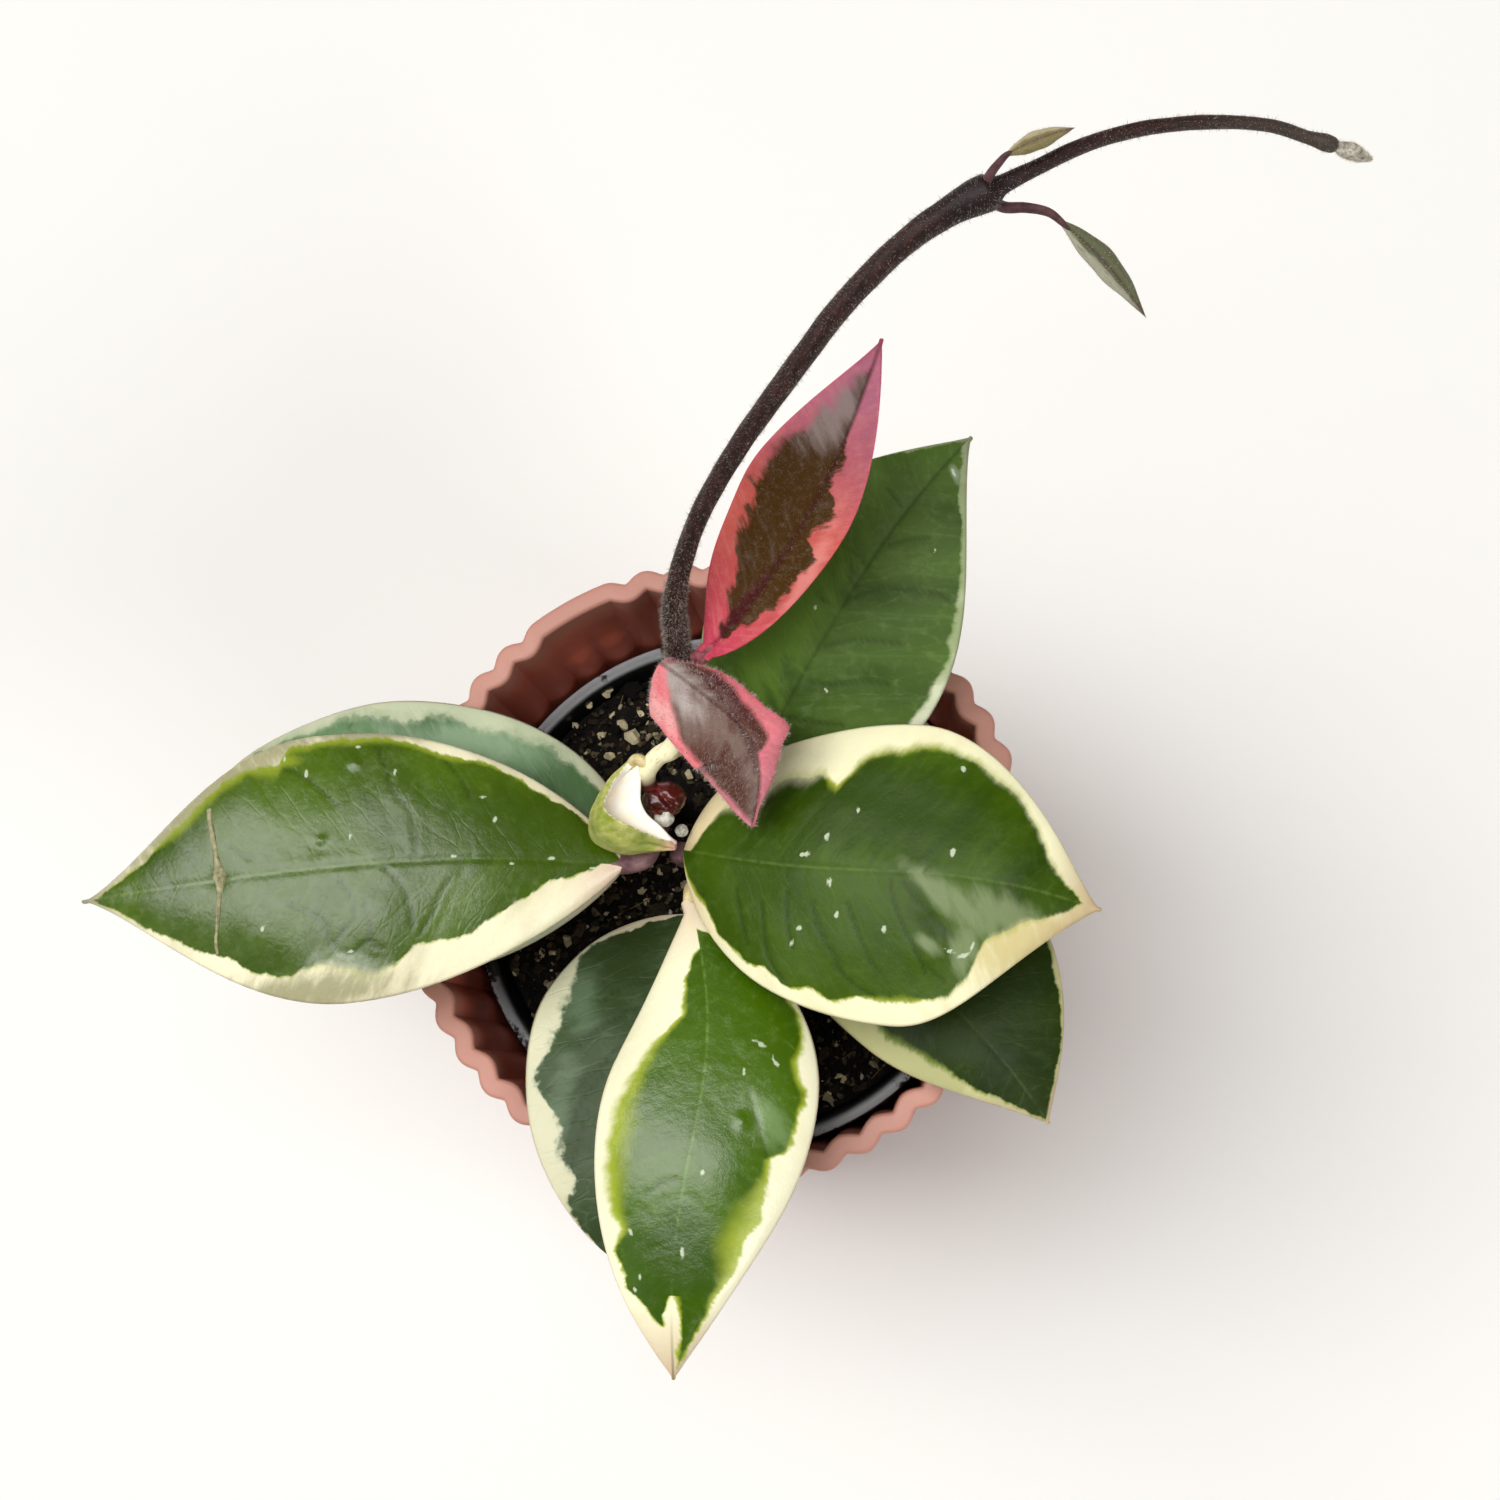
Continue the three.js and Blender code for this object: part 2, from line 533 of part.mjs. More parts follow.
// Leaf stalk: from inside the blade's base, down and round to the stem's surface
function stalk(leaf, stemRadius, root, start) {
  const end = vec(leaf.joins);
  const inner = leaf.stalk.map((p) => vec(p));
  const before = inner[inner.length - 1];
  const inward = end.clone().sub(before).normalize();
  const reach = end.distanceTo(before) - stemRadius - SEAT - leaf.stalkRadius * Math.abs(inward.z);
  const stop = before.clone().addScaledVector(inward, reach);
  const curve = new THREE.CatmullRomCurve3([root, start, ...inner, stop]);
  const steps = 3 * (inner.length + 1);
  const path = curve.getPoints(steps);
  const radii = path.map((_, i) => leaf.stalkRadius * mix(0.7, 1, clamp01(i / (steps / 2))));
  return tube(path, radii, STALK_SIDES);
}

// Assembly
const part = new THREE.Group();
part.name = 'potted_wax_plant';

function add(name, geometry, material) {
  geometry.computeVertexNormals();
  const mesh = new THREE.Mesh(geometry, material);
  mesh.name = name;
  part.add(mesh);
}

const STEM_SIZE = { main: MAIN_RADIUS * 1.2, shoot: SHOOT_RADIUS * 1.1, joint: 1.6, tip: 1.7 };

add('outer_pot', outerPot(), finish(0xc77a6c, 0.6));
add('grow_pot', growPot(), finish(0x1b1b1c, 0.45));
add('soil', soil(), finish(0x1d1813, 0.95));
add('main_stem', mainStem(), finish(0x5a4a34, 0.7));
add('shoot_stem', shootStem(), finish(0x4a3634, 0.7));
Object.entries(LEAVES).forEach(([name, leaf]) => {
  const ends = [ribFrame(leaf, STALK_SUNK).point, ribFrame(leaf, 0).point];
  add(name, unite([blade(leaf), stalk(leaf, STEM_SIZE[leaf.from], ...ends)]), finish(leaf.colour, 0.4));
});
const curlEnds = [curledPoint(STALK_SUNK, 0, 0), curledPoint(0, 0, 0)];
add('leaf_curled', unite([curledBlade(), stalk(CURL, SHOOT_RADIUS, ...curlEnds)]), finish(CURL.colour, 0.4));

export default part;
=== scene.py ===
import logging
import math
from collections.abc import Callable, Iterator, Sequence
from contextlib import contextmanager
from dataclasses import dataclass, field
from enum import Enum
from functools import partial
from typing import Any

import bpy
import numpy as np
from mathutils import Matrix, Vector


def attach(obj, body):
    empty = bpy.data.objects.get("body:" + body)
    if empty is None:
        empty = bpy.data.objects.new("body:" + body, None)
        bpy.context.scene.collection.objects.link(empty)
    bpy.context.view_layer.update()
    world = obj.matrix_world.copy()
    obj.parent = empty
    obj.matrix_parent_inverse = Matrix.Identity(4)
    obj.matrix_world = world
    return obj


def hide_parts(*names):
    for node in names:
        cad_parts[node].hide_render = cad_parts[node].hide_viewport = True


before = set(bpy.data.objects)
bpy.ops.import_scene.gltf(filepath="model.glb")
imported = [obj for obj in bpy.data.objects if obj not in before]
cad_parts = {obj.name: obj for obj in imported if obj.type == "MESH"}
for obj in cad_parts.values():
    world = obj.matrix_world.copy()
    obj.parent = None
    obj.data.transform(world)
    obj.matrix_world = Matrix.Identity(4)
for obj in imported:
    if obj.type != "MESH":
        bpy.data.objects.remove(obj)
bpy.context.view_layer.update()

# A wax plant in a black nursery pot inside a fluted cover pot. Lengths are in millimetres until a mesh is made.
MM = 0.001
BODY = "root"
MERGE = 2e-6
SMOOTH = {"interpolation_type": "SMOOTHSTEP"}
log = logging.getLogger("wax_plant")

Piece = bpy.types.Object
Material = bpy.types.Material
Socket = bpy.types.NodeSocket
Array = np.ndarray
Adder = Callable[..., Any]
Place = tuple[float, float, float]
Pairs = Sequence[tuple[float, float]]


class Face(Enum):
    """The two faces of a blade."""

    TOP = 1
    UNDER = -1


# Shared tools


def clear_selection() -> None:
    """Leaves nothing selected, so that the next operator acts on its own piece alone."""
    for obj in list(bpy.context.selected_objects):
        obj.select_set(False)
    bpy.context.view_layer.objects.active = None


def pick(obj: Piece) -> None:
    """Makes this the only selected object."""
    clear_selection()
    obj.select_set(True)
    bpy.context.view_layer.objects.active = obj


@contextmanager
def editing(obj: Piece) -> Iterator[None]:
    """Opens a piece in edit mode with all of it selected.

    Args:
        obj: The piece to edit.
    """
    pick(obj)
    bpy.ops.object.mode_set(mode="EDIT")
    bpy.ops.mesh.select_all(action="SELECT")
    yield
    bpy.ops.object.mode_set(mode="OBJECT")


def modified(obj: Piece, kind: str, **settings: Any) -> None:
    """Adds a modifier and applies it.

    Args:
        obj: The piece.
        kind: The modifier's type.
        settings: What is set on it.
    """
    pick(obj)
    modifier = obj.modifiers.new(kind.title(), kind)
    for key, value in settings.items():
        setattr(modifier, key, value)
    bpy.ops.object.modifier_apply(modifier=modifier.name)


def corners(obj: Piece) -> Array:
    """Vertex places of a mesh, in its own units."""
    flat = np.empty(len(obj.data.vertices) * 3)
    obj.data.vertices.foreach_get("co", flat)
    return flat.reshape(-1, 3)


def shape(obj: Piece, places: Array) -> None:
    """Moves every vertex of a mesh to its place.

    Args:
        obj: The piece.
        places: One place for each vertex, in millimetres.
    """
    obj.data.vertices.foreach_set("co", (places * MM).ravel())
    obj.data.update()


def note(obj: Piece, name: str, values: Array) -> None:
    """Keeps a value for each vertex, for the finish to read.

    Args:
        obj: The piece.
        name: The name that the finish reads.
        values: A number or a vector for each vertex.
    """
    vector = values.ndim == 2
    kept = obj.data.attributes.new(name, "FLOAT_VECTOR" if vector else "FLOAT", "POINT")
    kept.data.foreach_set("vector" if vector else "value", values.astype(np.float32).ravel())


def rolled(name: str, around: int, along: int) -> tuple[Piece, Array, Array]:
    """Adds a flat sheet that is rolled into a closed form.

    Args:
        name: The piece's name.
        around: Faces round the form.
        along: Faces along it.

    Returns:
        The sheet, and each vertex's share of the way round and along.
    """
    clear_selection()
    bpy.ops.mesh.primitive_grid_add(x_subdivisions=around, y_subdivisions=along, size=2)
    obj = bpy.context.object
    obj.name = name
    flat = corners(obj)
    return obj, (flat[:, 0] + 1) / 2, (flat[:, 1] + 1) / 2


def close_up(obj: Piece) -> None:
    """Merges a rolled sheet's seam and ends, and turns its faces out."""
    with editing(obj):
        bpy.ops.mesh.remove_doubles(threshold=MERGE)
        bpy.ops.mesh.dissolve_degenerate(threshold=MERGE / 2)
        bpy.ops.mesh.normals_make_consistent(inside=False)


def settle(obj: Piece, nodes: Sequence[str], material: Material,
           angle: float | None = None) -> Piece:
    """Gives a piece its finish and body, and hides the frame's nodes that it stands for.

    Args:
        obj: The piece.
        nodes: The frame's nodes that it stands for.
        material: The finish.
        angle: Faces that meet at more than this stay sharp, in degrees. None smooths them all.

    Returns:
        The piece.
    """
    pick(obj)
    if angle is None:
        bpy.ops.object.shade_smooth()
    else:
        bpy.ops.object.shade_smooth_by_angle(angle=math.radians(angle))
    obj.data.materials.clear()
    obj.data.materials.append(material)
    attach(obj, BODY)
    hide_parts(*nodes)
    log.info("%s: %d faces", obj.name, len(obj.data.polygons))
    return obj


def smooth_path(points: Sequence[Place], count: int) -> Array:
    """Even run of places on a smooth curve through the given ones.

    Args:
        points: Places that the curve passes.
        count: How many places to give back.

    Returns:
        The places, one row each.
    """
    p = np.array(points, float)
    p = np.vstack([2 * p[0] - p[1], p, 2 * p[-1] - p[-2]])
    at = np.linspace(0, len(points) - 1, count)
    step = np.minimum(at.astype(int), len(points) - 2)
    k = (at - step)[:, None]
    a, b, c, d = p[step], p[step + 1], p[step + 2], p[step + 3]
    return 0.5 * (2 * b + (c - a) * k + (2 * a - 5 * b + 4 * c - d) * k ** 2 + (3 * b - a - 3 * c + d) * k ** 3)


def frames_along(path: Array) -> tuple[Array, Array]:
    """Two directions square to a path at each of its places, turning as little as they can.

    Args:
        path: Places on the path.

    Returns:
        The first and the second direction at each place.
    """
    ahead = np.gradient(path, axis=0)
    ahead /= np.linalg.norm(ahead, axis=1, keepdims=True)
    start = np.array([0.0, 0.0, 1.0]) if abs(ahead[0][2]) < 0.9 else np.array([1.0, 0.0, 0.0])
    first = []
    for direction in ahead:
        start = start - direction * (start @ direction)
        start /= np.linalg.norm(start)
        first.append(start)
    first = np.array(first)
    return first, np.cross(ahead, first)


def wander(x: Array, y: Array, size: float, seed: int) -> Array:
    """Slow waves with no pattern to them, from -1 to 1.

    Args:
        x: First place, in millimetres.
        y: Second place.
        size: Length of the waves.
        seed: Which waves.

    Returns:
        The height of the waves at each place.
    """
    rng = np.random.default_rng(seed)
    total = np.zeros_like(x)
    for _ in range(6):
        angle, phase, stretch = rng.uniform(0, 2 * np.pi), rng.uniform(0, 2 * np.pi), rng.uniform(0.7, 1.6)
        total = total + np.sin((x * np.cos(angle) + y * np.sin(angle)) * 2 * np.pi * stretch / size + phase)
    return total / 3.2


def closing(t: Array, start: float, end: float) -> Array:
    """Share of the full section, which rounds to nothing within start and end of the two ends."""
    return np.sqrt(np.clip(t / start, 0, 1) * np.clip((1 - t) / end, 0, 1))


def step_between(value: Array, low: float, high: float) -> Array:
    """Smooth step from 0 at low to 1 at high."""
    k = np.clip((value - low) / (high - low), 0, 1)
    return k * k * (3 - 2 * k)


def meshed(name: str, points: Array, faces: list[Any]) -> Piece:
    """Adds a mesh to the scene.

    Args:
        name: The piece's name.
        points: Its corners, in metres.
        faces: The corners of each face.

    Returns:
        The piece.
    """
    made = bpy.data.meshes.new(name)
    made.from_pydata(points.tolist(), [], faces)
    obj = bpy.data.objects.new(name, made)
    bpy.context.scene.collection.objects.link(obj)
    return obj


def down(name: str, host: Piece, count: int, length: float, width: float, seed: int,
         lean: float = 0.6, keep: Callable[[Array], Array] | None = None) -> Piece:
    """Short soft hairs over a piece, each a closed sliver of four faces.

    Args:
        name: The name of the hairs.
        host: The piece that they grow on.
        count: How many.
        length: Their length in millimetres.
        width: Their width at the root.
        seed: Which places they take.
        lean: How far they lean from square.
        keep: Share of the hairs that stays at each place, if not all.

    Returns:
        The hairs as one mesh.
    """
    rng = np.random.default_rng(seed)
    mesh = host.data
    mesh.calc_loop_triangles()
    tri = np.empty(len(mesh.loop_triangles) * 3, int)
    mesh.loop_triangles.foreach_get("vertices", tri)
    places = corners(host)[tri.reshape(-1, 3)] / MM
    out = np.cross(places[:, 1] - places[:, 0], places[:, 2] - places[:, 0])
    area = np.linalg.norm(out, axis=1)
    chosen = rng.choice(len(area), count, p=area / area.sum())
    a, b = rng.random((2, count, 1))
    a, b = np.where(a + b > 1, 1 - a, a), np.where(a + b > 1, 1 - b, b)
    tri_at = places[chosen]
    root = tri_at[:, 0] + a * (tri_at[:, 1] - tri_at[:, 0]) + b * (tri_at[:, 2] - tri_at[:, 0])
    normal = out[chosen] / area[chosen][:, None]
    if keep is not None:
        stays = rng.random(count) < keep(root)
        root, normal = root[stays], normal[stays]
    total = len(root)
    aside = np.cross(normal, rng.normal(size=(total, 3)))
    aside /= np.linalg.norm(aside, axis=1, keepdims=True)
    third = np.cross(normal, aside)
    tip = root + (normal + aside * lean * rng.random((total, 1))) * length * rng.uniform(0.5, 1.2, (total, 1))
    turns = np.arange(3) * 2 * np.pi / 3
    ring = [root - normal * width / 2 + (aside * np.cos(t) + third * np.sin(t)) * width / 2 for t in turns]
    points = np.stack([*ring, tip], axis=1).reshape(-1, 3) * MM
    first = np.arange(total)[:, None] * 4
    faces = (first[:, None, :] + np.array([[0, 2, 1], [0, 1, 3], [1, 2, 3], [2, 0, 3]])[None]).reshape(-1, 3)
    return meshed(name, points, faces.tolist())


# Finishes


def linear(colour: str) -> tuple[float, float, float, float]:
    """Linear light of an sRGB hex colour."""
    parts = [int(colour[i:i + 2], 16) / 255 for i in (1, 3, 5)]
    return (*[c / 12.92 if c <= 0.04045 else ((c + 0.055) / 1.055) ** 2.4 for c in parts], 1.0)


def put(tree: bpy.types.NodeTree, kind: str, links: dict[str, Any] | Sequence[Any] = (),
        out: int | str | None = 0, **settings: Any) -> Any:
    """Adds a shader node with its settings and links.

    Args:
        tree: The material's node tree.
        kind: The node's type, without ShaderNode.
        links: Its inputs, by name or in order: for each, the output that feeds it, a number or a hex colour.
        out: The output to give back. None gives the node itself.
        settings: The node's own settings.

    Returns:
        One of the node's outputs, or the node.
    """
    made = tree.nodes.new("ShaderNode" + kind)
    for key, value in settings.items():
        setattr(made, key, value)
    for key, source in links.items() if isinstance(links, dict) else enumerate(links):
        if isinstance(source, Socket):
            tree.links.new(source, made.inputs[key])
        else:
            made.inputs[key].default_value = linear(source) if isinstance(source, str) else source
    return made if out is None else made.outputs[out]


def blank(name: str) -> tuple[Material, Adder]:
    """Material with an empty node tree, and the function that adds a node to it."""
    material = bpy.data.materials.new(name)
    material.use_nodes = True
    material.node_tree.nodes.clear()
    return material, partial(put, material.node_tree)


def mixed(add: Adder, share: Any, first: Any, second: Any) -> Socket:
    """Colour between two others, by a share of the second."""
    return add("Mix", {"Factor": share, "A": first, "B": second}, "Result", data_type="RGBA")


def surface(add: Adder, colour: Any, rough: Any, height: Any = None, depth: float = 0.05,
        **fixed: float) -> None:
    """Ends a material in one surface shader.

    Args:
        add: Adds a node to the material.
        colour: Base colour, fixed or from a node.
        rough: Roughness, fixed or from a node.
        height: Relief from a node, if any.
        depth: Depth of that relief in millimetres.
        fixed: Other sockets of the shader that are the same all over, with _ for each space.
    """
    links = {"Base Color": colour, "Roughness": rough}
    if height is not None:
        links["Normal"] = add("Bump", {"Height": height, "Distance": depth * MM, "Strength": 1.0})
    links.update({key.replace("_", " "): value for key, value in fixed.items()})
    add("OutputMaterial", {"Surface": add("BsdfPrincipled", links)}, None)


@dataclass(frozen=True)
class WaxLeaf:
    """Living leaf under a film of wax: a green heart and a pale margin, a soft, ragged line between."""

    name: str
    deep: str = "#2f4a17"
    mid: str = "#44641f"
    light: str = "#6f8b4a"
    lime: str = "#9aa63a"
    cream: str = "#fdf8df"
    warm: str = "#efe2b4"
    foot: str = "#e6d3b4"
    point: str = "#c3ab8e"
    frost: str = "#93a184"
    under: str = "#8f9c62"
    ragged: float = 0.9
    teeth: float = 0.5
    vein: float = 0.05
    vein_step: float = 5.2
    rib: float = 0.35
    rough: float = 0.33
    ior: float = 1.42
    thread: float = 0.0
    net: float = 0.06
    seed: float = 0.0

    def build(self) -> Material:
        """Makes the material.

        Returns:
            The material.
        """
        material, add = blank(self.name)
        blade = add("Attribute", out="Vector", attribute_name="blade")
        read = {name: add("Attribute", out="Fac", attribute_name=name) for name in ("heart", "soft", "lime",
                "frost", "deep", "glow", "warm", "crease", "fleck", "edge", "under")}
        along, across, share = add("SeparateXYZ", (blade,), None).outputs
        off_rib = add("Math", (across,), operation="ABSOLUTE")
        place = add("TexCoord", out="Object")
        # Side veins leave the midrib at about 60 degrees, so this number is the same all along one of them
        back = add("Math", (off_rib, 0.6), operation="MULTIPLY")
        vein_place = add("Math", (along, back), operation="SUBTRACT")
        drawn_out = add("Math", (across, 0.4), operation="MULTIPLY")
        veined = add("CombineXYZ", (vein_place, drawn_out, self.seed))
        # Lobes about 4 mm long on the line between green and cream, and teeth of 1 mm along the veins
        lobes = add("TexNoise", {"Vector": blade, "Scale": 0.24, "Detail": 4.0, "Roughness": 0.6})
        lobes = add("MapRange", (lobes, 0.25, 0.75, -self.ragged / 2, self.ragged / 2))
        teeth = add("TexNoise", {"Vector": veined, "Scale": 1.1, "Detail": 3.0, "Roughness": 0.6})
        teeth = add("MapRange", (teeth, 0.25, 0.75, -self.teeth / 2, self.teeth / 2))
        inside = add("Math", (read["heart"], lobes), operation="ADD")
        inside = add("Math", (inside, teeth), operation="ADD")
        half = add("Math", (read["soft"], 0.5), operation="MULTIPLY")
        other = add("Math", (half, -1.0), operation="MULTIPLY")
        green = add("MapRange", (inside, other, half), **SMOOTH)
        near = add("Math", (read["heart"], lobes), operation="ADD")
        near = add("MapRange", (near, 0.0, read["lime"], 0.85, 0.0), **SMOOTH)
        # Heart of the blade: clouds of 9 mm between two greens, and mottling of about 1 mm
        clouds = add("TexNoise", {"Vector": veined, "Scale": 0.11, "Detail": 2.0})
        clouds = add("MapRange", (clouds, 0.36, 0.64))
        mottle = add("TexNoise", {"Vector": place, "Scale": 900.0, "Detail": 5.0, "Roughness": 0.65})
        speck = add("MapRange", (mottle, 0.5, 0.75, 0.0, 0.16))
        colour = mixed(add, clouds, self.deep, self.mid)
        colour = mixed(add, speck, colour, self.light)
        wave = add("Math", (vein_place, self.vein_step / 2), operation="PINGPONG")
        line = add("MapRange", (wave, 0.04, 0.3, self.vein, 0.0), **SMOOTH)
        # Midrib: a fine pale line broken into dashes of about 1 mm
        dashes = add("MapRange", (mottle, 0.38, 0.56, 0.1, 1.0))
        ribline = add("MapRange", (off_rib, 0.05, 0.24, self.rib, 0.0), **SMOOTH)
        ribline = add("Math", (ribline, dashes), operation="MULTIPLY")
        line = add("Math", (line, ribline), operation="MAXIMUM")
        colour = mixed(add, line, colour, self.light)
        # Net of fine veins 0.25 mm wide between the side veins, slightly sunk
        strayed = add("TexNoise", {"Vector": veined, "Scale": 0.5, "Detail": 3.0}, "Color")
        strayed = add("VectorMath", (strayed, (2.4, 2.4, 0.0), veined), operation="MULTIPLY_ADD")
        net = add("TexVoronoi", {"Vector": strayed, "Scale": 0.4, "Randomness": 0.9}, "Distance",
                feature="DISTANCE_TO_EDGE")
        net = add("MapRange", (net, 0.0, 0.08, 1.0, 0.0), **SMOOTH)
        net = add("Math", (net, dashes), operation="MULTIPLY")
        seen = add("Math", (net, self.net), operation="MULTIPLY")
        colour = mixed(add, seen, colour, self.light)
        # Darker green patches; on the right leaf they paint shade, over its upper half and beside a wrinkle
        colour = mixed(add, self.patch(add, read["deep"], veined, 0.85), colour, self.deep)
        # Painted shade: a dark line along each crease
        furrow = add("Math", (read["crease"], 0.5), operation="MULTIPLY")
        colour = mixed(add, furrow, colour, "#1c2c0a")
        # Pale sectors where a colourless layer lies over the green; the front leaf's patch and two on the right
        # leaf are painted highlights instead
        colour = mixed(add, self.patch(add, read["frost"], veined, 0.75), colour, self.frost)
        # Lime along the green's edge and in patches; on the back leaf the lime patch is painted light on its
        # brighter half
        glow = add("Math", (self.patch(add, read["glow"], veined, 0.8), near), operation="MAXIMUM")
        colour = mixed(add, glow, colour, self.lime)
        # Margin: cream with warmer clouds of about 5 mm, yellower patches, and browner at foot, point and edge
        shade = add("TexNoise", {"Vector": veined, "Scale": 0.2, "Detail": 2.0})
        shade = add("MapRange", (shade, 0.5, 0.75, 0.0, 0.5))
        pale = mixed(add, shade, self.cream, self.warm)
        pale = mixed(add, self.patch(add, read["warm"], veined, 0.9), pale, self.warm)
        foot = add("MapRange", (along, 1.5, 7.0, 0.8, 0.0))
        pale = mixed(add, foot, pale, self.foot)
        point = add("MapRange", (share, 0.85, 1.0, 0.0, 0.9))
        pale = mixed(add, point, pale, self.point)
        thin = add("MapRange", (read["edge"], 0.05, 0.35, 0.35, 0.0), **SMOOTH)
        pale = mixed(add, thin, pale, self.point)
        # The midrib shows through the pale point as a thin dark line
        thread = add("MapRange", (off_rib, 0.06, 0.2, self.thread, 0.0), **SMOOTH)
        thread = add("Math", (thread, point), operation="MULTIPLY")
        pale = mixed(add, thread, pale, self.deep)
        colour = mixed(add, green, pale, colour)
        # Silvery flecks of dried sap, with broken outlines
        broken = add("MapRange", (mottle, 0.3, 0.7, -0.3, 0.3))
        fleck = add("Math", (read["fleck"], broken), operation="ADD")
        fleck = add("MapRange", (fleck, 0.55, 0.75, 0.0, 0.8))
        colour = mixed(add, fleck, colour, "#cfdbc0")
        below = add("Math", (read["under"], 0.6), operation="MULTIPLY")
        colour = mixed(add, below, colour, self.under)
        rough = add("MapRange", (mottle, 0.3, 0.7, self.rough - 0.05, self.rough + 0.08))
        height = add("Math", (net, -3 * self.net, mottle), operation="MULTIPLY_ADD")
        surface(add, colour, rough, height, 0.06, IOR=self.ior, Subsurface_Weight=0.06, Subsurface_Scale=0.001)
        return material

    @staticmethod
    def patch(add: Adder, here: Socket, place: Socket, most: float) -> Socket:
        """Share of a patch's tone, with an uneven outline.

        Args:
            add: Adds a node to the material.
            here: How far inside the patch, 0.5 on its outline.
            place: Place along the veins.
            most: The largest share.

        Returns:
            The share.
        """
        uneven = add("TexNoise", {"Vector": place, "Scale": 0.6, "Detail": 4.0, "Roughness": 0.6})
        uneven = add("MapRange", (uneven, 0.3, 0.7, -0.2, 0.2))
        uneven = add("Math", (here, uneven), operation="ADD")
        return add("MapRange", (uneven, 0.25, 0.85, 0.0, most), **SMOOTH)


@dataclass(frozen=True)
class YoungLeaf:
    """Young leaf under soft down: matt, a dark heart, a hot pink to mauve margin, maroon along the fold, and a
    painted silvery highlight.
    """

    name: str
    heart: str = "#3a2c00"
    grey: str = "#958783"
    foot: str = "#c8435c"
    pink: str = "#cb5d54"
    point: str = "#bd7089"
    pale: str = "#e88f88"
    fold: str = "#3f0f18"
    painted_highlight: str = "#bdb7b3"
    ragged: float = 0.9
    teeth: float = 0.6
    seed: float = 0.0

    def build(self) -> Material:
        """Makes the material.

        Returns:
            The material.
        """
        material, add = blank(self.name)
        blade = add("Attribute", out="Vector", attribute_name="blade")
        read = {name: add("Attribute", out="Fac", attribute_name=name) for name in ("heart", "soft",
                "frost", "deep", "glow", "warm", "crease", "edge")}
        along, across, share = add("SeparateXYZ", (blade,), None).outputs
        off_rib = add("Math", (across,), operation="ABSOLUTE")
        place = add("TexCoord", out="Object")
        back = add("Math", (off_rib, 0.9), operation="MULTIPLY")
        vein_place = add("Math", (along, back), operation="SUBTRACT")
        drawn_out = add("Math", (across, 0.35), operation="MULTIPLY")
        veined = add("CombineXYZ", (vein_place, drawn_out, self.seed))
        # Scallops about 2.5 mm long, and teeth of 0.7 mm along the side veins
        lobes = add("TexNoise", {"Vector": blade, "Scale": 0.42, "Detail": 1.0})
        lobes = add("MapRange", (lobes, 0.25, 0.75, -self.ragged / 2, self.ragged / 2))
        teeth = add("TexNoise", {"Vector": veined, "Scale": 1.4, "Detail": 4.0, "Roughness": 0.6})
        bite = add("MapRange", (teeth, 0.25, 0.75, -self.teeth / 2, self.teeth / 2))
        inside = add("Math", (read["heart"], lobes), operation="ADD")
        inside = add("Math", (inside, bite), operation="ADD")
        half = add("Math", (read["soft"], 0.5), operation="MULTIPLY")
        other = add("Math", (half, -1.0), operation="MULTIPLY")
        dark = add("MapRange", (inside, other, half, 0.0, 0.96), **SMOOTH)
        fine = add("TexNoise", {"Vector": place, "Scale": 1500.0, "Detail": 4.0, "Roughness": 0.7})
        streaks = add("MapRange", (teeth, 0.35, 0.65))
        # Grey haze over the heart; on the small leaf its broad patch is partly a painted highlight on the lit
        # half
        grey = WaxLeaf.patch(add, read["frost"], veined, 0.95)
        veil = add("MapRange", (streaks, 0.5, 1.0, 0.0, 0.1))
        middle = mixed(add, veil, self.heart, self.grey)
        middle = mixed(add, WaxLeaf.patch(add, read["deep"], veined, 0.8), middle, self.fold)
        middle = mixed(add, grey, middle, self.grey)
        # Painted highlight: a silvery patch where the down catches the light, laid by the WARM patches
        middle = mixed(add, WaxLeaf.patch(add, read["warm"], veined, 0.75), middle, self.painted_highlight)
        upper = add("MapRange", (share, 0.5, 0.85))
        lower = add("MapRange", (share, 0.04, 0.34, 1.0, 0.0))
        margin = mixed(add, upper, self.pink, self.point)
        margin = mixed(add, lower, margin, self.foot)
        bloom = add("MapRange", (streaks, 0.3, 1.0, 0.0, 0.25))
        margin = mixed(add, bloom, margin, self.pale)
        margin = mixed(add, WaxLeaf.patch(add, read["glow"], veined, 0.8), margin, self.pale)
        colour = mixed(add, dark, margin, middle)
        crease = add("MapRange", (off_rib, 0.05, 0.36, 0.55, 0.0), **SMOOTH)
        furrow = add("Math", (read["crease"], 0.6), operation="MULTIPLY")
        crease = add("Math", (crease, furrow), operation="MAXIMUM")
        colour = mixed(add, crease, colour, self.fold)
        very = add("MapRange", (read["edge"], 0.0, 0.4, 0.4, 0.0))
        colour = mixed(add, very, colour, self.foot)
        grain = add("MapRange", (fine, 0.5, 0.75, 0.0, 0.08))
        colour = mixed(add, grain, colour, "#e9cfc9")
        surface(add, colour, 0.5, fine, 0.06, IOR=1.2)
        return material


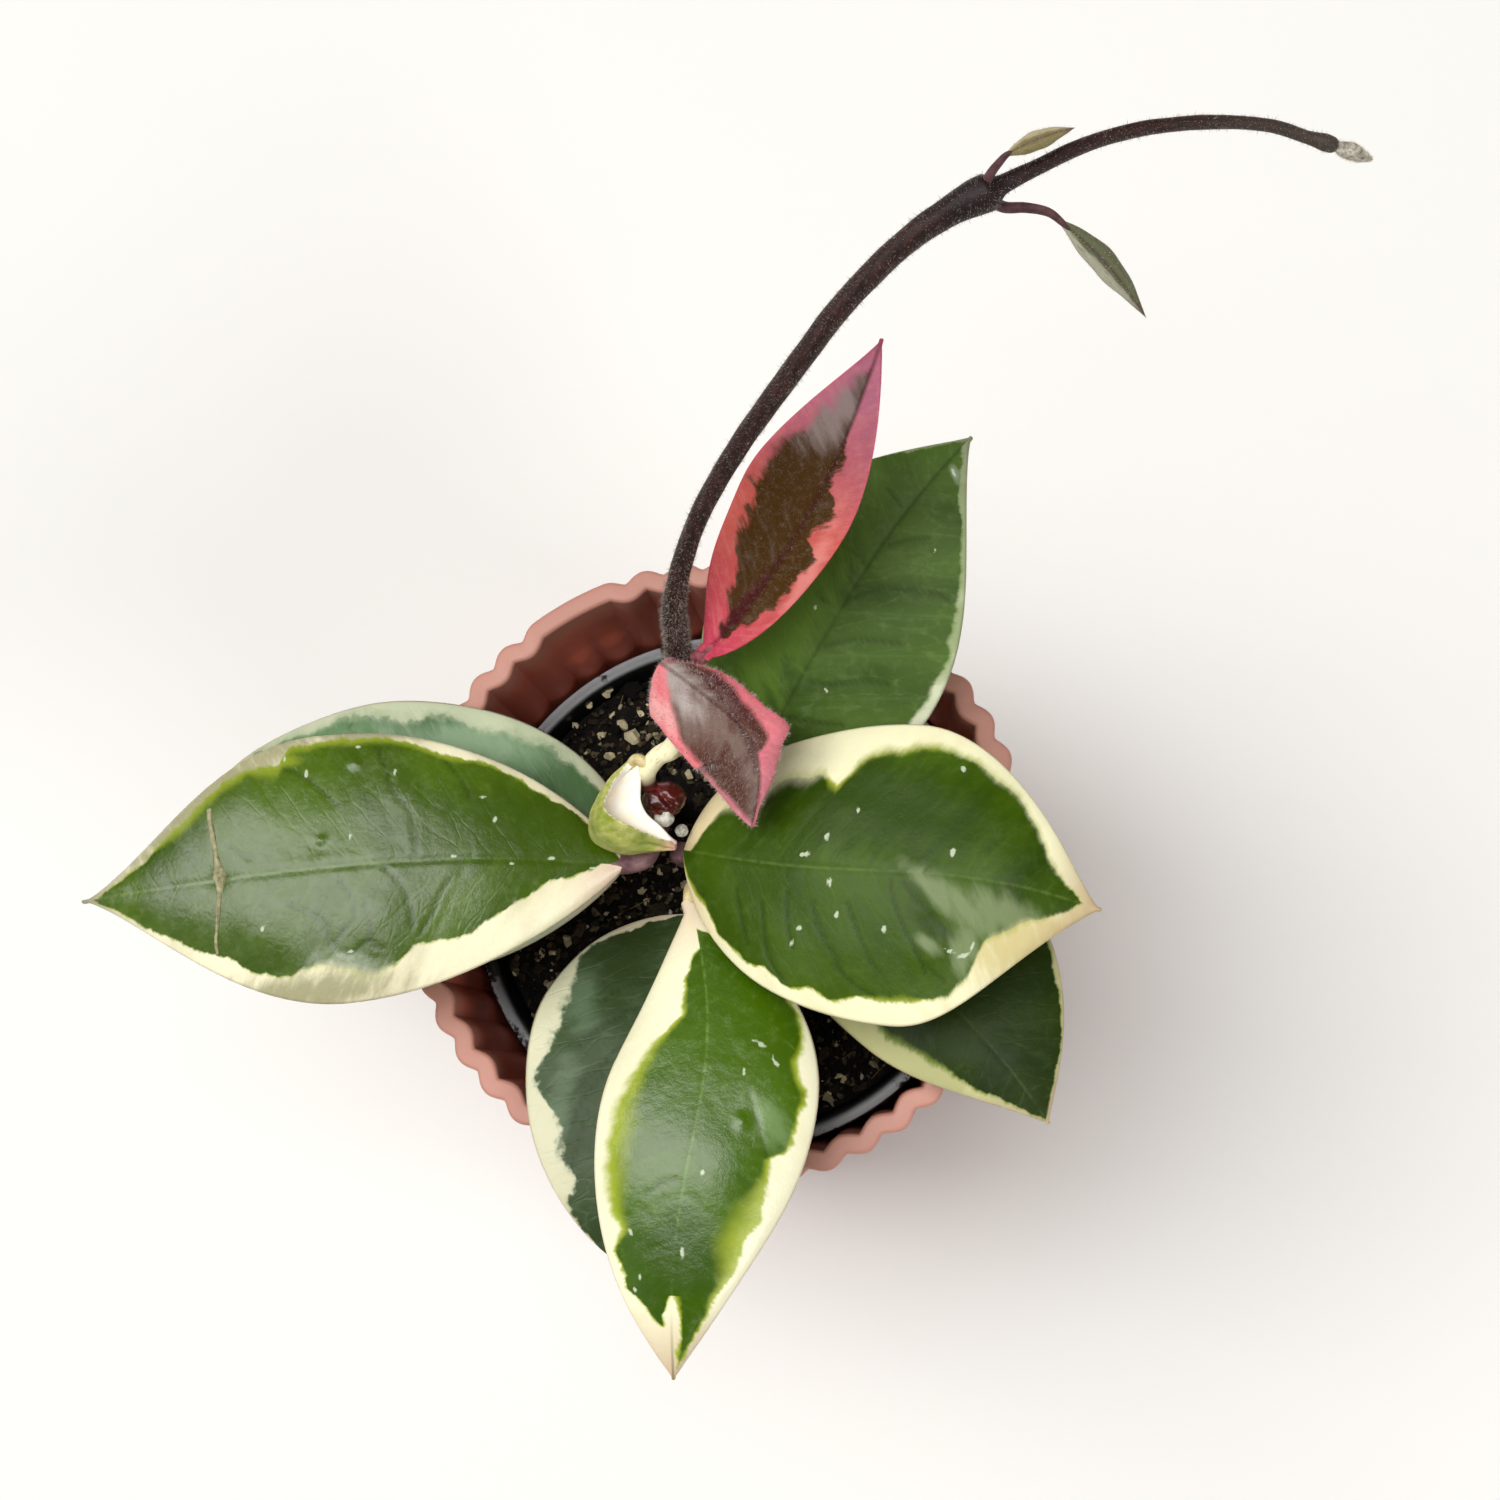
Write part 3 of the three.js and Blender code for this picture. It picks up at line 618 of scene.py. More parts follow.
@dataclass(frozen=True)
class BudBlade:
    """Tiny folded leaf: olive in the middle, whitish along one edge, maroon at its point and in the fold."""

    name: str
    middle: str
    edge: str
    point: str = "#4a2a2c"

    def build(self) -> Material:
        """Makes the material.

        Returns:
            The material.
        """
        material, add = blank(self.name)
        blade = add("Attribute", out="Vector", attribute_name="blade")
        along, across, _ = add("SeparateXYZ", (blade,), None).outputs
        place = add("TexCoord", out="Object")
        # Streaks 0.4 mm wide along the leaf
        flow = add("CombineXYZ", (across, add("Math", (along, 2.0), operation="MULTIPLY")))
        streaks = add("TexNoise", {"Vector": flow, "Scale": 3.0, "Detail": 4.0, "Roughness": 0.6})
        fine = add("TexNoise", {"Vector": place, "Scale": 2500.0, "Detail": 3.0})
        wobble = add("MapRange", (streaks, 0.3, 0.7, -0.3, 0.3))
        side = add("Math", (across, wobble), operation="ADD")
        pale = add("MapRange", (side, 0.2, 0.65), **SMOOTH)
        colour = mixed(add, pale, self.middle, self.edge)
        brown = add("MapRange", (streaks, 0.52, 0.66, 0.0, 0.5))
        colour = mixed(add, brown, colour, "#5b4636")
        fold = add("MapRange", (add("Math", (across,), operation="ABSOLUTE"), 0.03, 0.16, 0.7, 0.0))
        colour = mixed(add, fold, colour, self.point)
        end = add("MapRange", (along, 0.78, 1.0, 0.0, 0.9))
        colour = mixed(add, end, colour, self.point)
        surface(add, colour, 0.55, fine, 0.06, IOR=1.4, Sheen_Weight=0.25, Sheen_Roughness=0.5)
        return material


@dataclass(frozen=True)
class Skin:
    """Stem, stalk, bud or scar tissue: two tones in streaks along the growth, with fine grain."""

    name: str
    dark: str
    light: str
    rough: float = 0.6
    streak: float = 1.2
    depth: float = 0.08
    coat: float = 0.0
    sheen: float = 0.0

    def build(self) -> Material:
        """Makes the material.

        Returns:
            The material.
        """
        material, add = blank(self.name)
        place = add("TexCoord", out="Object")
        streaks = add("TexNoise",
                {"Vector": place, "Scale": 1000 / self.streak, "Detail": 5.0, "Roughness": 0.65})
        share = add("MapRange", (streaks, 0.34, 0.66))
        grain = add("TexNoise", {"Vector": place, "Scale": 4000.0, "Detail": 3.0})
        both = add("Math", (streaks, grain), operation="ADD")
        colour = mixed(add, share, self.dark, self.light)
        surface(add, colour, self.rough, both, self.depth, IOR=1.4, Coat_Weight=self.coat,
                Coat_Roughness=0.15, Sheen_Weight=self.sheen, Sheen_Roughness=0.5)
        return material


@dataclass(frozen=True)
class ShootSkin:
    """Young shoot: cream where it leaves the knot, maroon and dark brown along the runner, grey at its tip."""

    name: str = "shoot skin, living"

    def build(self) -> Material:
        """Makes the material.

        Returns:
            The material.
        """
        material, add = blank(self.name)
        grown = add("Attribute", out="Fac", attribute_name="grown")
        turn = add("Attribute", out="Fac", attribute_name="turn")
        place = add("TexCoord", out="Object")
        # Streaks 0.4 mm wide and several millimetres long, wound slightly round the stem
        wound = add("Math", (grown, 0.12, turn), operation="MULTIPLY_ADD")
        long = add("Math", (grown, 0.18), operation="MULTIPLY")
        flow = add("CombineXYZ", (wound, long))
        streaks = add("TexNoise", {"Vector": flow, "Scale": 2.2, "Detail": 5.0, "Roughness": 0.65})
        fine = add("TexNoise", {"Vector": place, "Scale": 2600.0, "Detail": 4.0, "Roughness": 0.65})
        share = add("MapRange", (streaks, 0.4, 0.66))
        brown = mixed(add, share, "#1d0f0d", "#40231f")
        speck = add("MapRange", (fine, 0.55, 0.72, 0.0, 0.3))
        brown = mixed(add, speck, brown, "#6b4a40")
        veined = add("MapRange", (streaks, 0.56, 0.68, 0.0, 0.6))
        cream = mixed(add, veined, "#fff9cf", "#c08a4a")
        early = add("MapRange", (grown, 10.5, 12.5), **SMOOTH)
        colour = mixed(add, early, cream, brown)
        stub = add("MapRange", (grown, 2.3, 4.0, 1.0, 0.0))
        colour = mixed(add, stub, colour, "#4c1814")
        late = add("MapRange", (grown, 100.0, 132.0, 0.0, 0.7))
        colour = mixed(add, late, colour, "#5a574b")
        # The swollen joint of the two tiny leaves, 81.3 mm along, is darker
        off_joint = add("Math", (grown, 81.3), operation="SUBTRACT")
        off_joint = add("Math", (off_joint,), operation="ABSOLUTE")
        joint = add("MapRange", (off_joint, 2.5, 6.0, 0.9, 0.0))
        colour = mixed(add, joint, colour, "#1c0c0d")
        surface(add, colour, 0.5, fine, 0.08, IOR=1.38)
        return material


@dataclass(frozen=True)
class MouldedPlastic:
    """Moulded polypropylene: even colour and a satin skin with a very fine orange peel, with painted
    inter-reflection on marked inner faces and dust with a painted highlight on a marked lip.
    """

    name: str
    colour: str
    shade: str
    rough: float = 0.5
    peel: float = 0.03
    peel_size: float = 0.5
    inner: str = "#000000"
    dust_and_highlight: str = "#000000"

    def build(self) -> Material:
        """Makes the material.

        Returns:
            The material.
        """
        material, add = blank(self.name)
        place = add("TexCoord", out="Object")
        clouds = add("TexNoise", {"Vector": place, "Scale": 80.0, "Detail": 4.0})
        share = add("MapRange", (clouds, 0.3, 0.75, 0.0, 0.5))
        peel = add("TexNoise", {"Vector": place, "Scale": 1000 / self.peel_size, "Detail": 3.0})
        colour = mixed(add, share, self.colour, self.shade)
        # Painted inter-reflection: a deeper, redder colour on the faces marked inner, for light bounced between
        # the walls
        colour = mixed(add, add("Attribute", out="Fac", attribute_name="inner"), colour, self.inner)
        # Fine dust and scuffs that wear off in patches of about 6 mm, in a pale colour that also paints the
        # highlight of the lit lip
        dust_and_highlight_share = add("TexNoise", {"Vector": place, "Scale": 160.0, "Detail": 6.0, "Roughness": 0.7})
        dust_and_highlight_share = add("MapRange", (dust_and_highlight_share, 0.45, 0.49))
        dust_and_highlight_share = add("Math", (dust_and_highlight_share, add("Attribute", out="Fac", attribute_name="dusty")), operation="MULTIPLY")
        colour = mixed(add, dust_and_highlight_share, colour, self.dust_and_highlight)
        rough = add("MapRange", (clouds, 0.3, 0.7, self.rough - 0.05, self.rough + 0.08))
        surface(add, colour, rough, peel, self.peel, IOR=1.49)
        return material


@dataclass(frozen=True)
class Crumb:
    """Loose piece of potting mix: rough, each with its own tone."""

    name: str
    dark: str
    light: str
    rough: float = 0.9
    grain: float = 0.6

    def build(self) -> Material:
        """Makes the material.

        Returns:
            The material.
        """
        material, add = blank(self.name)
        place = add("TexCoord", out="Object")
        tone = add("Attribute", out="Fac", attribute_name="tone")
        noise = add("TexNoise", {"Vector": place, "Scale": 1000 / self.grain, "Detail": 5.0, "Roughness": 0.7})
        share = add("Math", (noise, 0.9, tone), operation="MULTIPLY_ADD")
        share = add("MapRange", (share, 0.35, 1.35))
        colour = mixed(add, share, self.dark, self.light)
        surface(add, colour, self.rough, noise, 0.25, IOR=1.4)
        return material


# Pots


@dataclass
class CoverPot:
    """Fluted cover pot with a bare panel at the rim."""

    height: float = 70.0
    base_radius: float = 29.5
    rim_radius: float = 34.0
    wall: float = 2.2
    floor: float = 2.2
    flutes: int = 48
    depth: float = 0.9
    phase: float = 2.4
    flute_start: float = 4.5
    rim_round: float = 0.5
    foot_edge: float = 1.0
    panel_middle: float = 118.65
    panel_half: float = 7.5
    panel_low: float = 57.0
    panel_fade: float = 2.4
    steps_per_flute: int = 12
    soft_valley: float = 0.16
    soft_cusp: float = 0.05

    def radius(self, angle: Array, high: Array, inner: Array) -> Array:
        """Radius of the wall's outer or inner face.

        Args:
            angle: Angle round the pot.
            high: Height above the underside.
            inner: True on the inner face.

        Returns:
            The radius at each place.
        """
        slope = self.base_radius + (self.rim_radius - self.base_radius) * high / self.height
        off = np.angle(np.exp(1j * (angle - math.radians(self.panel_middle))))
        panel = np.abs(off) < math.radians(self.panel_half)
        share = panel * np.clip((high - self.panel_low) / self.panel_fade, 0, 1)
        turn = (angle - math.radians(self.phase)) * self.flutes / 2
        fluted = step_between(high, self.foot_edge, self.flute_start) * self.depth
        soft = self.soft_valley
        rise = (np.sqrt(np.sin(turn) ** 2 + soft ** 2) - soft) / (1 - soft * 0.85)
        lobe = np.sqrt(np.cos(turn) ** 2 + self.soft_cusp ** 2)
        outside = slope + fluted * (rise + (1 - rise) * share)
        inside = slope - self.wall + fluted * (1 - lobe * (1 - share))
        return np.where(inner, inside, outside)

    def profile(self) -> list[tuple[float, float, bool, float]]:
        """Stations of the wall: height, set back, whether it is the inner face, share of the radius."""
        r = self.rim_round
        out = [(0.0, 0.0, False, 0.0), (0.0, self.foot_edge, False, 1.0)]
        out += [(z, (1 - z) ** 2 * self.foot_edge, False, 1.0) for z in (0.3, 0.65, 1.0)]
        out += [(float(z), 0.0, False, 1.0) for z in np.linspace(1.6, self.flute_start, 4)]
        out += [(float(z), 0.0, False, 1.0) for z in np.linspace(9, self.panel_low, 9)]
        out += [(self.panel_low + self.panel_fade * k, 0.0, False, 1.0) for k in (0.35, 0.7, 1.0)]
        out += [(64.0, 0.0, False, 1.0), (self.height - r, 0.0, False, 1.0)]
        bend = [k * math.pi / 8 for k in (1, 2, 3, 4)]
        out += [(self.height - r + r * math.sin(a), r * (1 - math.cos(a)), False, 1.0) for a in bend]
        out += [(self.height - r + r * math.sin(a), -r * (1 - math.cos(a)), True, 1.0) for a in reversed(bend)]
        out += [(self.height - r, 0.0, True, 1.0), (64.0, 0.0, True, 1.0)]
        out += [(self.panel_low + self.panel_fade * k, 0.0, True, 1.0) for k in (1.0, 0.8, 0.6, 0.4, 0.2, 0.0)]
        out += [(float(z), 0.0, True, 1.0) for z in np.linspace(50, self.flute_start, 7)]
        return out + [(self.floor, 0.0, True, 1.0), (self.floor, 0.0, True, 0.0)]

    def build(self) -> Piece:
        """Rolls the wall from its stations and finishes it.

        Returns:
            The pot.
        """
        stations = self.profile()
        obj, u, v = rolled("cover_pot", self.flutes * self.steps_per_flute, len(stations) - 1)
        row = np.rint(v * (len(stations) - 1)).astype(int)
        high, back, inner, share = (np.array(column)[row] for column in zip(*stations))
        angle = math.radians(self.phase) + u * 2 * np.pi
        radius = (self.radius(angle, high, inner) - back) * share
        shape(obj, np.stack([radius * np.cos(angle), radius * np.sin(angle), high], axis=1))
        # Painted inter-reflection: the inner face is marked for a deeper, redder colour, fading out just below
        # the rim's top
        note(obj, "inner", inner * (1 - step_between(high, self.height - 1.1, self.height - 0.3)) * 0.9)
        close_up(obj)
        # Satin moulded plastic in dusty rose, painted deeper and redder inside for the light bounced between
        # the walls
        rose = MouldedPlastic("polypropylene, moulded, dusty rose", "#c68c7d", "#bb7f70", rough=0.48,
                inner="#dd7059")
        return settle(obj, ["outer_pot"], rose.build(), angle=50)


@dataclass
class GrowPot:
    """Thin black nursery pot with a rolled lip and drain holes."""

    bottom: float = 2.5
    top: float = 52.0
    lip_outer: float = 30.1
    lip_inner: float = 28.4
    lip_high: float = 1.4
    top_radius: float = 29.3
    base_radius: float = 23.0
    wall: float = 0.9
    floor: float = 1.0
    steps: int = 144
    drains: int = 6
    drain_radius: float = 2.6
    drain_ring: float = 14.0

    def side(self, high: float) -> float:
        """Outer radius of the tapered wall at a height."""
        wider = self.top_radius - self.base_radius
        return self.base_radius + wider * (high - self.bottom) / (self.top - self.bottom)

    def section(self) -> list[tuple[float, float]]:
        """Radius and height round half a section of the pot."""
        low = self.top - self.lip_high
        soft = 0.3
        wall_top = self.side(low) - self.wall
        return [
            (0.0, self.bottom), (self.base_radius - 0.6, self.bottom), (self.base_radius, self.bottom + 0.6),
            (self.side(low - soft), low - soft), (self.side(low) + soft, low), (self.lip_outer - soft, low),
            (self.lip_outer, low + soft), (self.lip_outer, self.top - soft),
            (self.lip_outer - 0.1, self.top - 0.1), (self.lip_outer - soft, self.top),
            (self.lip_inner + soft, self.top), (self.lip_inner + 0.1, self.top - 0.1),
            (self.lip_inner, self.top - soft), (wall_top, low), (self.side(12) - self.wall, 12.0),
            (self.side(self.bottom) - self.wall, self.bottom + self.floor), (0.0, self.bottom + self.floor),
        ]

    def build(self) -> Piece:
        """Spins the section, drills the drain holes and finishes the pot.

        Returns:
            The pot.
        """
        section = self.section()
        clear_selection()
        bpy.ops.mesh.primitive_circle_add(vertices=len(section), fill_type="NOTHING")
        obj = bpy.context.object
        obj.name = "nursery_pot"
        shape(obj, np.array([(r, 0.0, z) for r, z in section]))
        with editing(obj):
            bpy.ops.mesh.spin(steps=self.steps, angle=2 * math.pi, center=(0, 0, 0), axis=(0, 0, 1))
            bpy.ops.mesh.select_all(action="SELECT")
            bpy.ops.mesh.remove_doubles(threshold=MERGE)
            bpy.ops.mesh.dissolve_degenerate(threshold=MERGE)
            bpy.ops.mesh.normals_make_consistent(inside=False)
        for i in range(self.drains):
            angle = i / self.drains * 2 * math.pi
            clear_selection()
            place = (self.drain_ring * math.cos(angle) * MM, self.drain_ring * math.sin(angle) * MM, 3 * MM)
            bpy.ops.mesh.primitive_cylinder_add(vertices=32, radius=self.drain_radius * MM, depth=4 * MM,
                    location=place)
            drill = bpy.context.object
            modified(obj, "BOOLEAN", object=drill, operation="DIFFERENCE", solver="EXACT")
            bpy.data.objects.remove(drill)
        high, flat = corners(obj)[:, 2] / MM, np.hypot(*corners(obj)[:, :2].T) / MM
        # The lip's flat top gets grey dust with a painted highlight
        dusty = step_between(high, self.top - 0.4, self.top - 0.05) * step_between(flat, 28.95, 29.15)
        note(obj, "dusty", dusty)
        # Thin black plastic, glossier than the cover pot, with grey dust and a painted highlight on its lip
        black = MouldedPlastic("polypropylene, thin black", "#17181a", "#202124", rough=0.3, peel=0.02,
                peel_size=0.8, dust_and_highlight="#c4cad2")
        return settle(obj, ["grow_pot"], black.build(), angle=35)


# Potting mix


@dataclass
class PottingMix:
    """Dark peat with crumbs, bark, perlite and root threads on top."""

    low: float = 3.8
    top: float = 50.0
    low_radius: float = 22.0
    top_radius: float = 27.6
    lump: float = 1.0
    rings: int = 90
    around: int = 260
    stems: tuple[tuple[float, float], ...] = ((1.5, 0.5), (-7.6, 10.8))
    seed: int = 11
    grains: int = 4200
    clods: int = 260
    chips: int = 1300
    perlite: int = 70
    threads: int = 45
    placed: tuple[Place, ...] = (
        (-15.3, 24.2, 1.5), (-11.8, 18.3, 1.8), (-15.7, 18.8, 1.0), (-14.3, 21.1, 0.8), (-11.0, 21.4, 0.9),
        (-18.7, 20.0, 0.8), (-17.0, 22.4, 0.8), (-8.5, 2.6, 1.3), (-10.8, 0.3, 1.1), (-7.1, 17.8, 1.0),
    )

    def height(self, x: Array, y: Array) -> Array:
        """Height of the lumpy top.

        Args:
            x: Place across.
            y: Place along.

        Returns:
            The height at each place.
        """
        slow = np.sin(x * 0.31 + 1.3) * np.cos(y * 0.27 - 0.4)
        fast = np.sin(x * 0.83 - y * 0.61) * np.sin(y * 0.92 + 0.7)
        lumps = 0.45 * wander(x, y, 4.0, 3) + 0.28 * wander(x, y, 1.7, 4) + 0.16 * wander(x, y, 0.9, 5)
        return self.top + self.lump * (0.6 * slow + 0.4 * fast) + lumps * 0.7 - 0.2

    def plug(self) -> Piece:
        """Rolls the plug of peat, from the middle of its underside to the middle of its top."""
        skirt = 4
        obj, u, v = rolled("peat", self.around, self.rings + skirt)
        row = np.rint(v * (self.rings + skirt)).astype(int)
        angle = u * 2 * np.pi
        top_row = np.clip(row - skirt, 0, self.rings)
        radius = self.top_radius * (1 - top_row / self.rings)
        lower = [0.0, self.low_radius, self.top_radius + 0.1]
        radius = np.select([row == 0, row == 1, row < skirt], lower, radius)
        x, y = radius * np.cos(angle), radius * np.sin(angle)
        edge_drop = step_between(radius, self.top_radius - 2.5, self.top_radius) * 0.8
        high = self.height(x, y) - edge_drop
        high = np.where(row <= 1, self.low, np.where(row < skirt, 46.0 + row * 0.4, high))
        shape(obj, np.stack([x, y, high], axis=1))
        note(obj, "tone", 0.25 + 0.2 * wander(x, y, 3.0, 8))
        close_up(obj)
        return obj

    def scatter(self, name: str, count: int, kind: str, size: tuple[float, float], flat: float, lift: float,
                tone: tuple[float, float], seed: int, at: Sequence[Place] = ()) -> Piece:
        """Strews copies of one lump over the mix.

        Args:
            name: The name of the pieces.
            count: How many.
            kind: "block", "round" or "thread".
            size: Smallest and largest length in millimetres.
            flat: Thickness as a share of the length.
            lift: How far a piece's middle lies above the mix, as a share of its length.
            tone: Darkest and lightest tone.
            seed: Which places.
            at: The first pieces' own places across and along, and their lengths.

        Returns:
            The pieces as one mesh.
        """
        rng = np.random.default_rng(seed)
        clear_selection()
        if kind == "block":
            bpy.ops.mesh.primitive_cube_add(size=1)
            modified(bpy.context.object, "BEVEL", width=0.2, segments=1)
        elif kind == "thread":
            bpy.ops.mesh.primitive_cylinder_add(vertices=4, radius=0.5, depth=1, rotation=(0, math.pi / 2, 0))
            bpy.ops.object.transform_apply(location=False, rotation=True, scale=False)
        else:
            bpy.ops.mesh.primitive_ico_sphere_add(subdivisions=2 if size[1] > 1.2 else 1, radius=0.5)
        model = bpy.context.object
        pattern = corners(model)
        faces = [list(face.vertices) for face in model.data.polygons]
        bpy.data.objects.remove(model)
        points, loops, tones = [], [], []
        while len(points) < count:
            r, a = self.top_radius * math.sqrt(rng.random()) * 0.985, rng.uniform(0, 2 * math.pi)
            x, y = r * math.cos(a), r * math.sin(a)
            if min(math.hypot(x - sx, y - sy) for sx, sy in self.stems) < 3.0:
                continue
            long = size[0] + (size[1] - size[0]) * rng.random() ** 1.6
            if len(points) < len(at):
                x, y, long = at[len(points)]
            scale = np.array([long, long * rng.uniform(0.45, 0.85), long * flat * rng.uniform(0.7, 1.3)])
            if kind == "thread":
                scale = np.array([long, flat, flat])
            lump = pattern.copy()
            if kind != "thread":
                lump = pattern * (1 + 0.28 * rng.normal(size=pattern.shape))
            spin = Matrix.Rotation(rng.uniform(0, 2 * math.pi), 3, "Z")
            spin = spin @ Matrix.Rotation(rng.normal() * 0.35, 3, "X")
            spin = spin @ Matrix.Rotation(rng.normal() * 0.3, 3, "Y")
            z = float(self.height(np.array([x]), np.array([y]))[0])
            z += lift * long * (flat if kind != "thread" else 0.2)
            loops += [[i + len(points) * len(pattern) for i in face] for face in faces]
            points.append((lump * scale) @ np.array(spin).T + np.array([x, y, z]))
            share = rng.random() ** 1.4 if len(points) > len(at) else 0.9
            tones += [tone[0] + (tone[1] - tone[0]) * share] * len(pattern)
        obj = meshed(name, np.vstack(points) * MM, loops)
        note(obj, "tone", np.array(tones))
        with editing(obj):
            bpy.ops.mesh.normals_make_consistent(inside=False)
        return obj

    def build(self) -> None:
        """Makes the plug and what lies on it."""
        # Damp sphagnum peat: nearly black, with brown fibre in it
        peat = Crumb("peat, damp", "#030202", "#1f1710", grain=0.8).build()
        settle(self.plug(), ["soil"], peat)
        dark = Crumb("peat crumbs, loose", "#050302", "#6f6348", grain=0.4).build()
        grains = self.scatter("peat_crumbs", self.grains, "round", (0.3, 1.1), 0.75, 0.2, (-0.5, 0.95), 21)
        settle(grains, ["soil"], dark, 20)
        lumps = self.scatter("peat_lumps", self.clods, "round", (1.25, 2.6), 0.6, 0.05, (-0.5, 0.3), 25)
        settle(lumps, ["soil"], dark, 20)
        # Pine bark and wood chips: torn flakes, from straw to brown
        bark = Crumb("pine bark, torn", "#2a2012", "#eaddb4", grain=0.8, rough=0.8).build()
        chips = self.scatter("bark_chips", self.chips, "block", (0.3, 1.4), 0.5, 0.35, (-0.8, 0.95), 22,
                self.placed)
        settle(chips, ["soil"], bark, 20)
        # Expanded perlite: white, porous and chalky
        white = Crumb("perlite, expanded", "#b9b2a2", "#f2ede0", grain=0.4).build()
        perlite = self.scatter("perlite", self.perlite, "round", (0.35, 0.9), 0.8, 0.35, (0.2, 0.8), 23)
        settle(perlite, ["soil"], white, 20)
        hair = Crumb("root threads, dry", "#5f4c30", "#b9a57c").build()
        threads = self.scatter("root_threads", self.threads, "thread", (1.5, 4.5), 0.12, 0.5, (0.0, 0.8), 24)
        settle(threads, ["soil"], hair, 20)


# Stems


@dataclass
class Tube:
    """Round stem or stalk along a curve, closed by rounded ends."""

    name: str
    points: Sequence[Place]
    radii: Sequence[float]
    around: int = 24
    along: int = 60
    lumps: float = 0.04
    seed: int = 1

    def build(self) -> Piece:
        """Rolls a sheet round the curve.

        Returns:
            The tube, with its length and turn kept at each vertex.
        """
        path = smooth_path(self.points, 8 * len(self.points))
        run = np.concatenate([[0.0], np.cumsum(np.linalg.norm(np.diff(path, axis=0), axis=1))])
        size = np.interp(np.linspace(0, 1, len(path)), np.linspace(0, 1, len(self.radii)), self.radii)
        first, second = frames_along(path)
        obj, u, v = rolled(self.name, self.around, self.along)
        total = run[-1]
        cap = np.array([size[0], size[-1]])
        at = v * total
        ends = np.sqrt(np.clip(1 - (1 - np.clip(at / cap[0], 0, 1)) ** 2, 0, 1))
        ends = ends * np.sqrt(np.clip(1 - (1 - np.clip((total - at) / cap[1], 0, 1)) ** 2, 0, 1))

        def column(values: Array) -> Array:
            """Values along the path, taken at each vertex."""
            return np.interp(at, run, values)

        middle = np.stack([column(path[:, k]) for k in range(3)], axis=1)
        one = np.stack([column(first[:, k]) for k in range(3)], axis=1)
        two = np.stack([column(second[:, k]) for k in range(3)], axis=1)
        angle = u * 2 * np.pi
        bumps = 1 + self.lumps * wander(np.cos(angle) * 2 + at * 0.5, np.sin(angle) * 2 + at * 0.3, 3.0,
                self.seed)
        radius = column(size) * ends * bumps
        shape(obj, middle + radius[:, None] * (one * np.cos(angle)[:, None] + two * np.sin(angle)[:, None]))
        note(obj, "grown", at)
        note(obj, "turn", np.abs(angle / np.pi - 1) * 3)
        close_up(obj)
        return obj


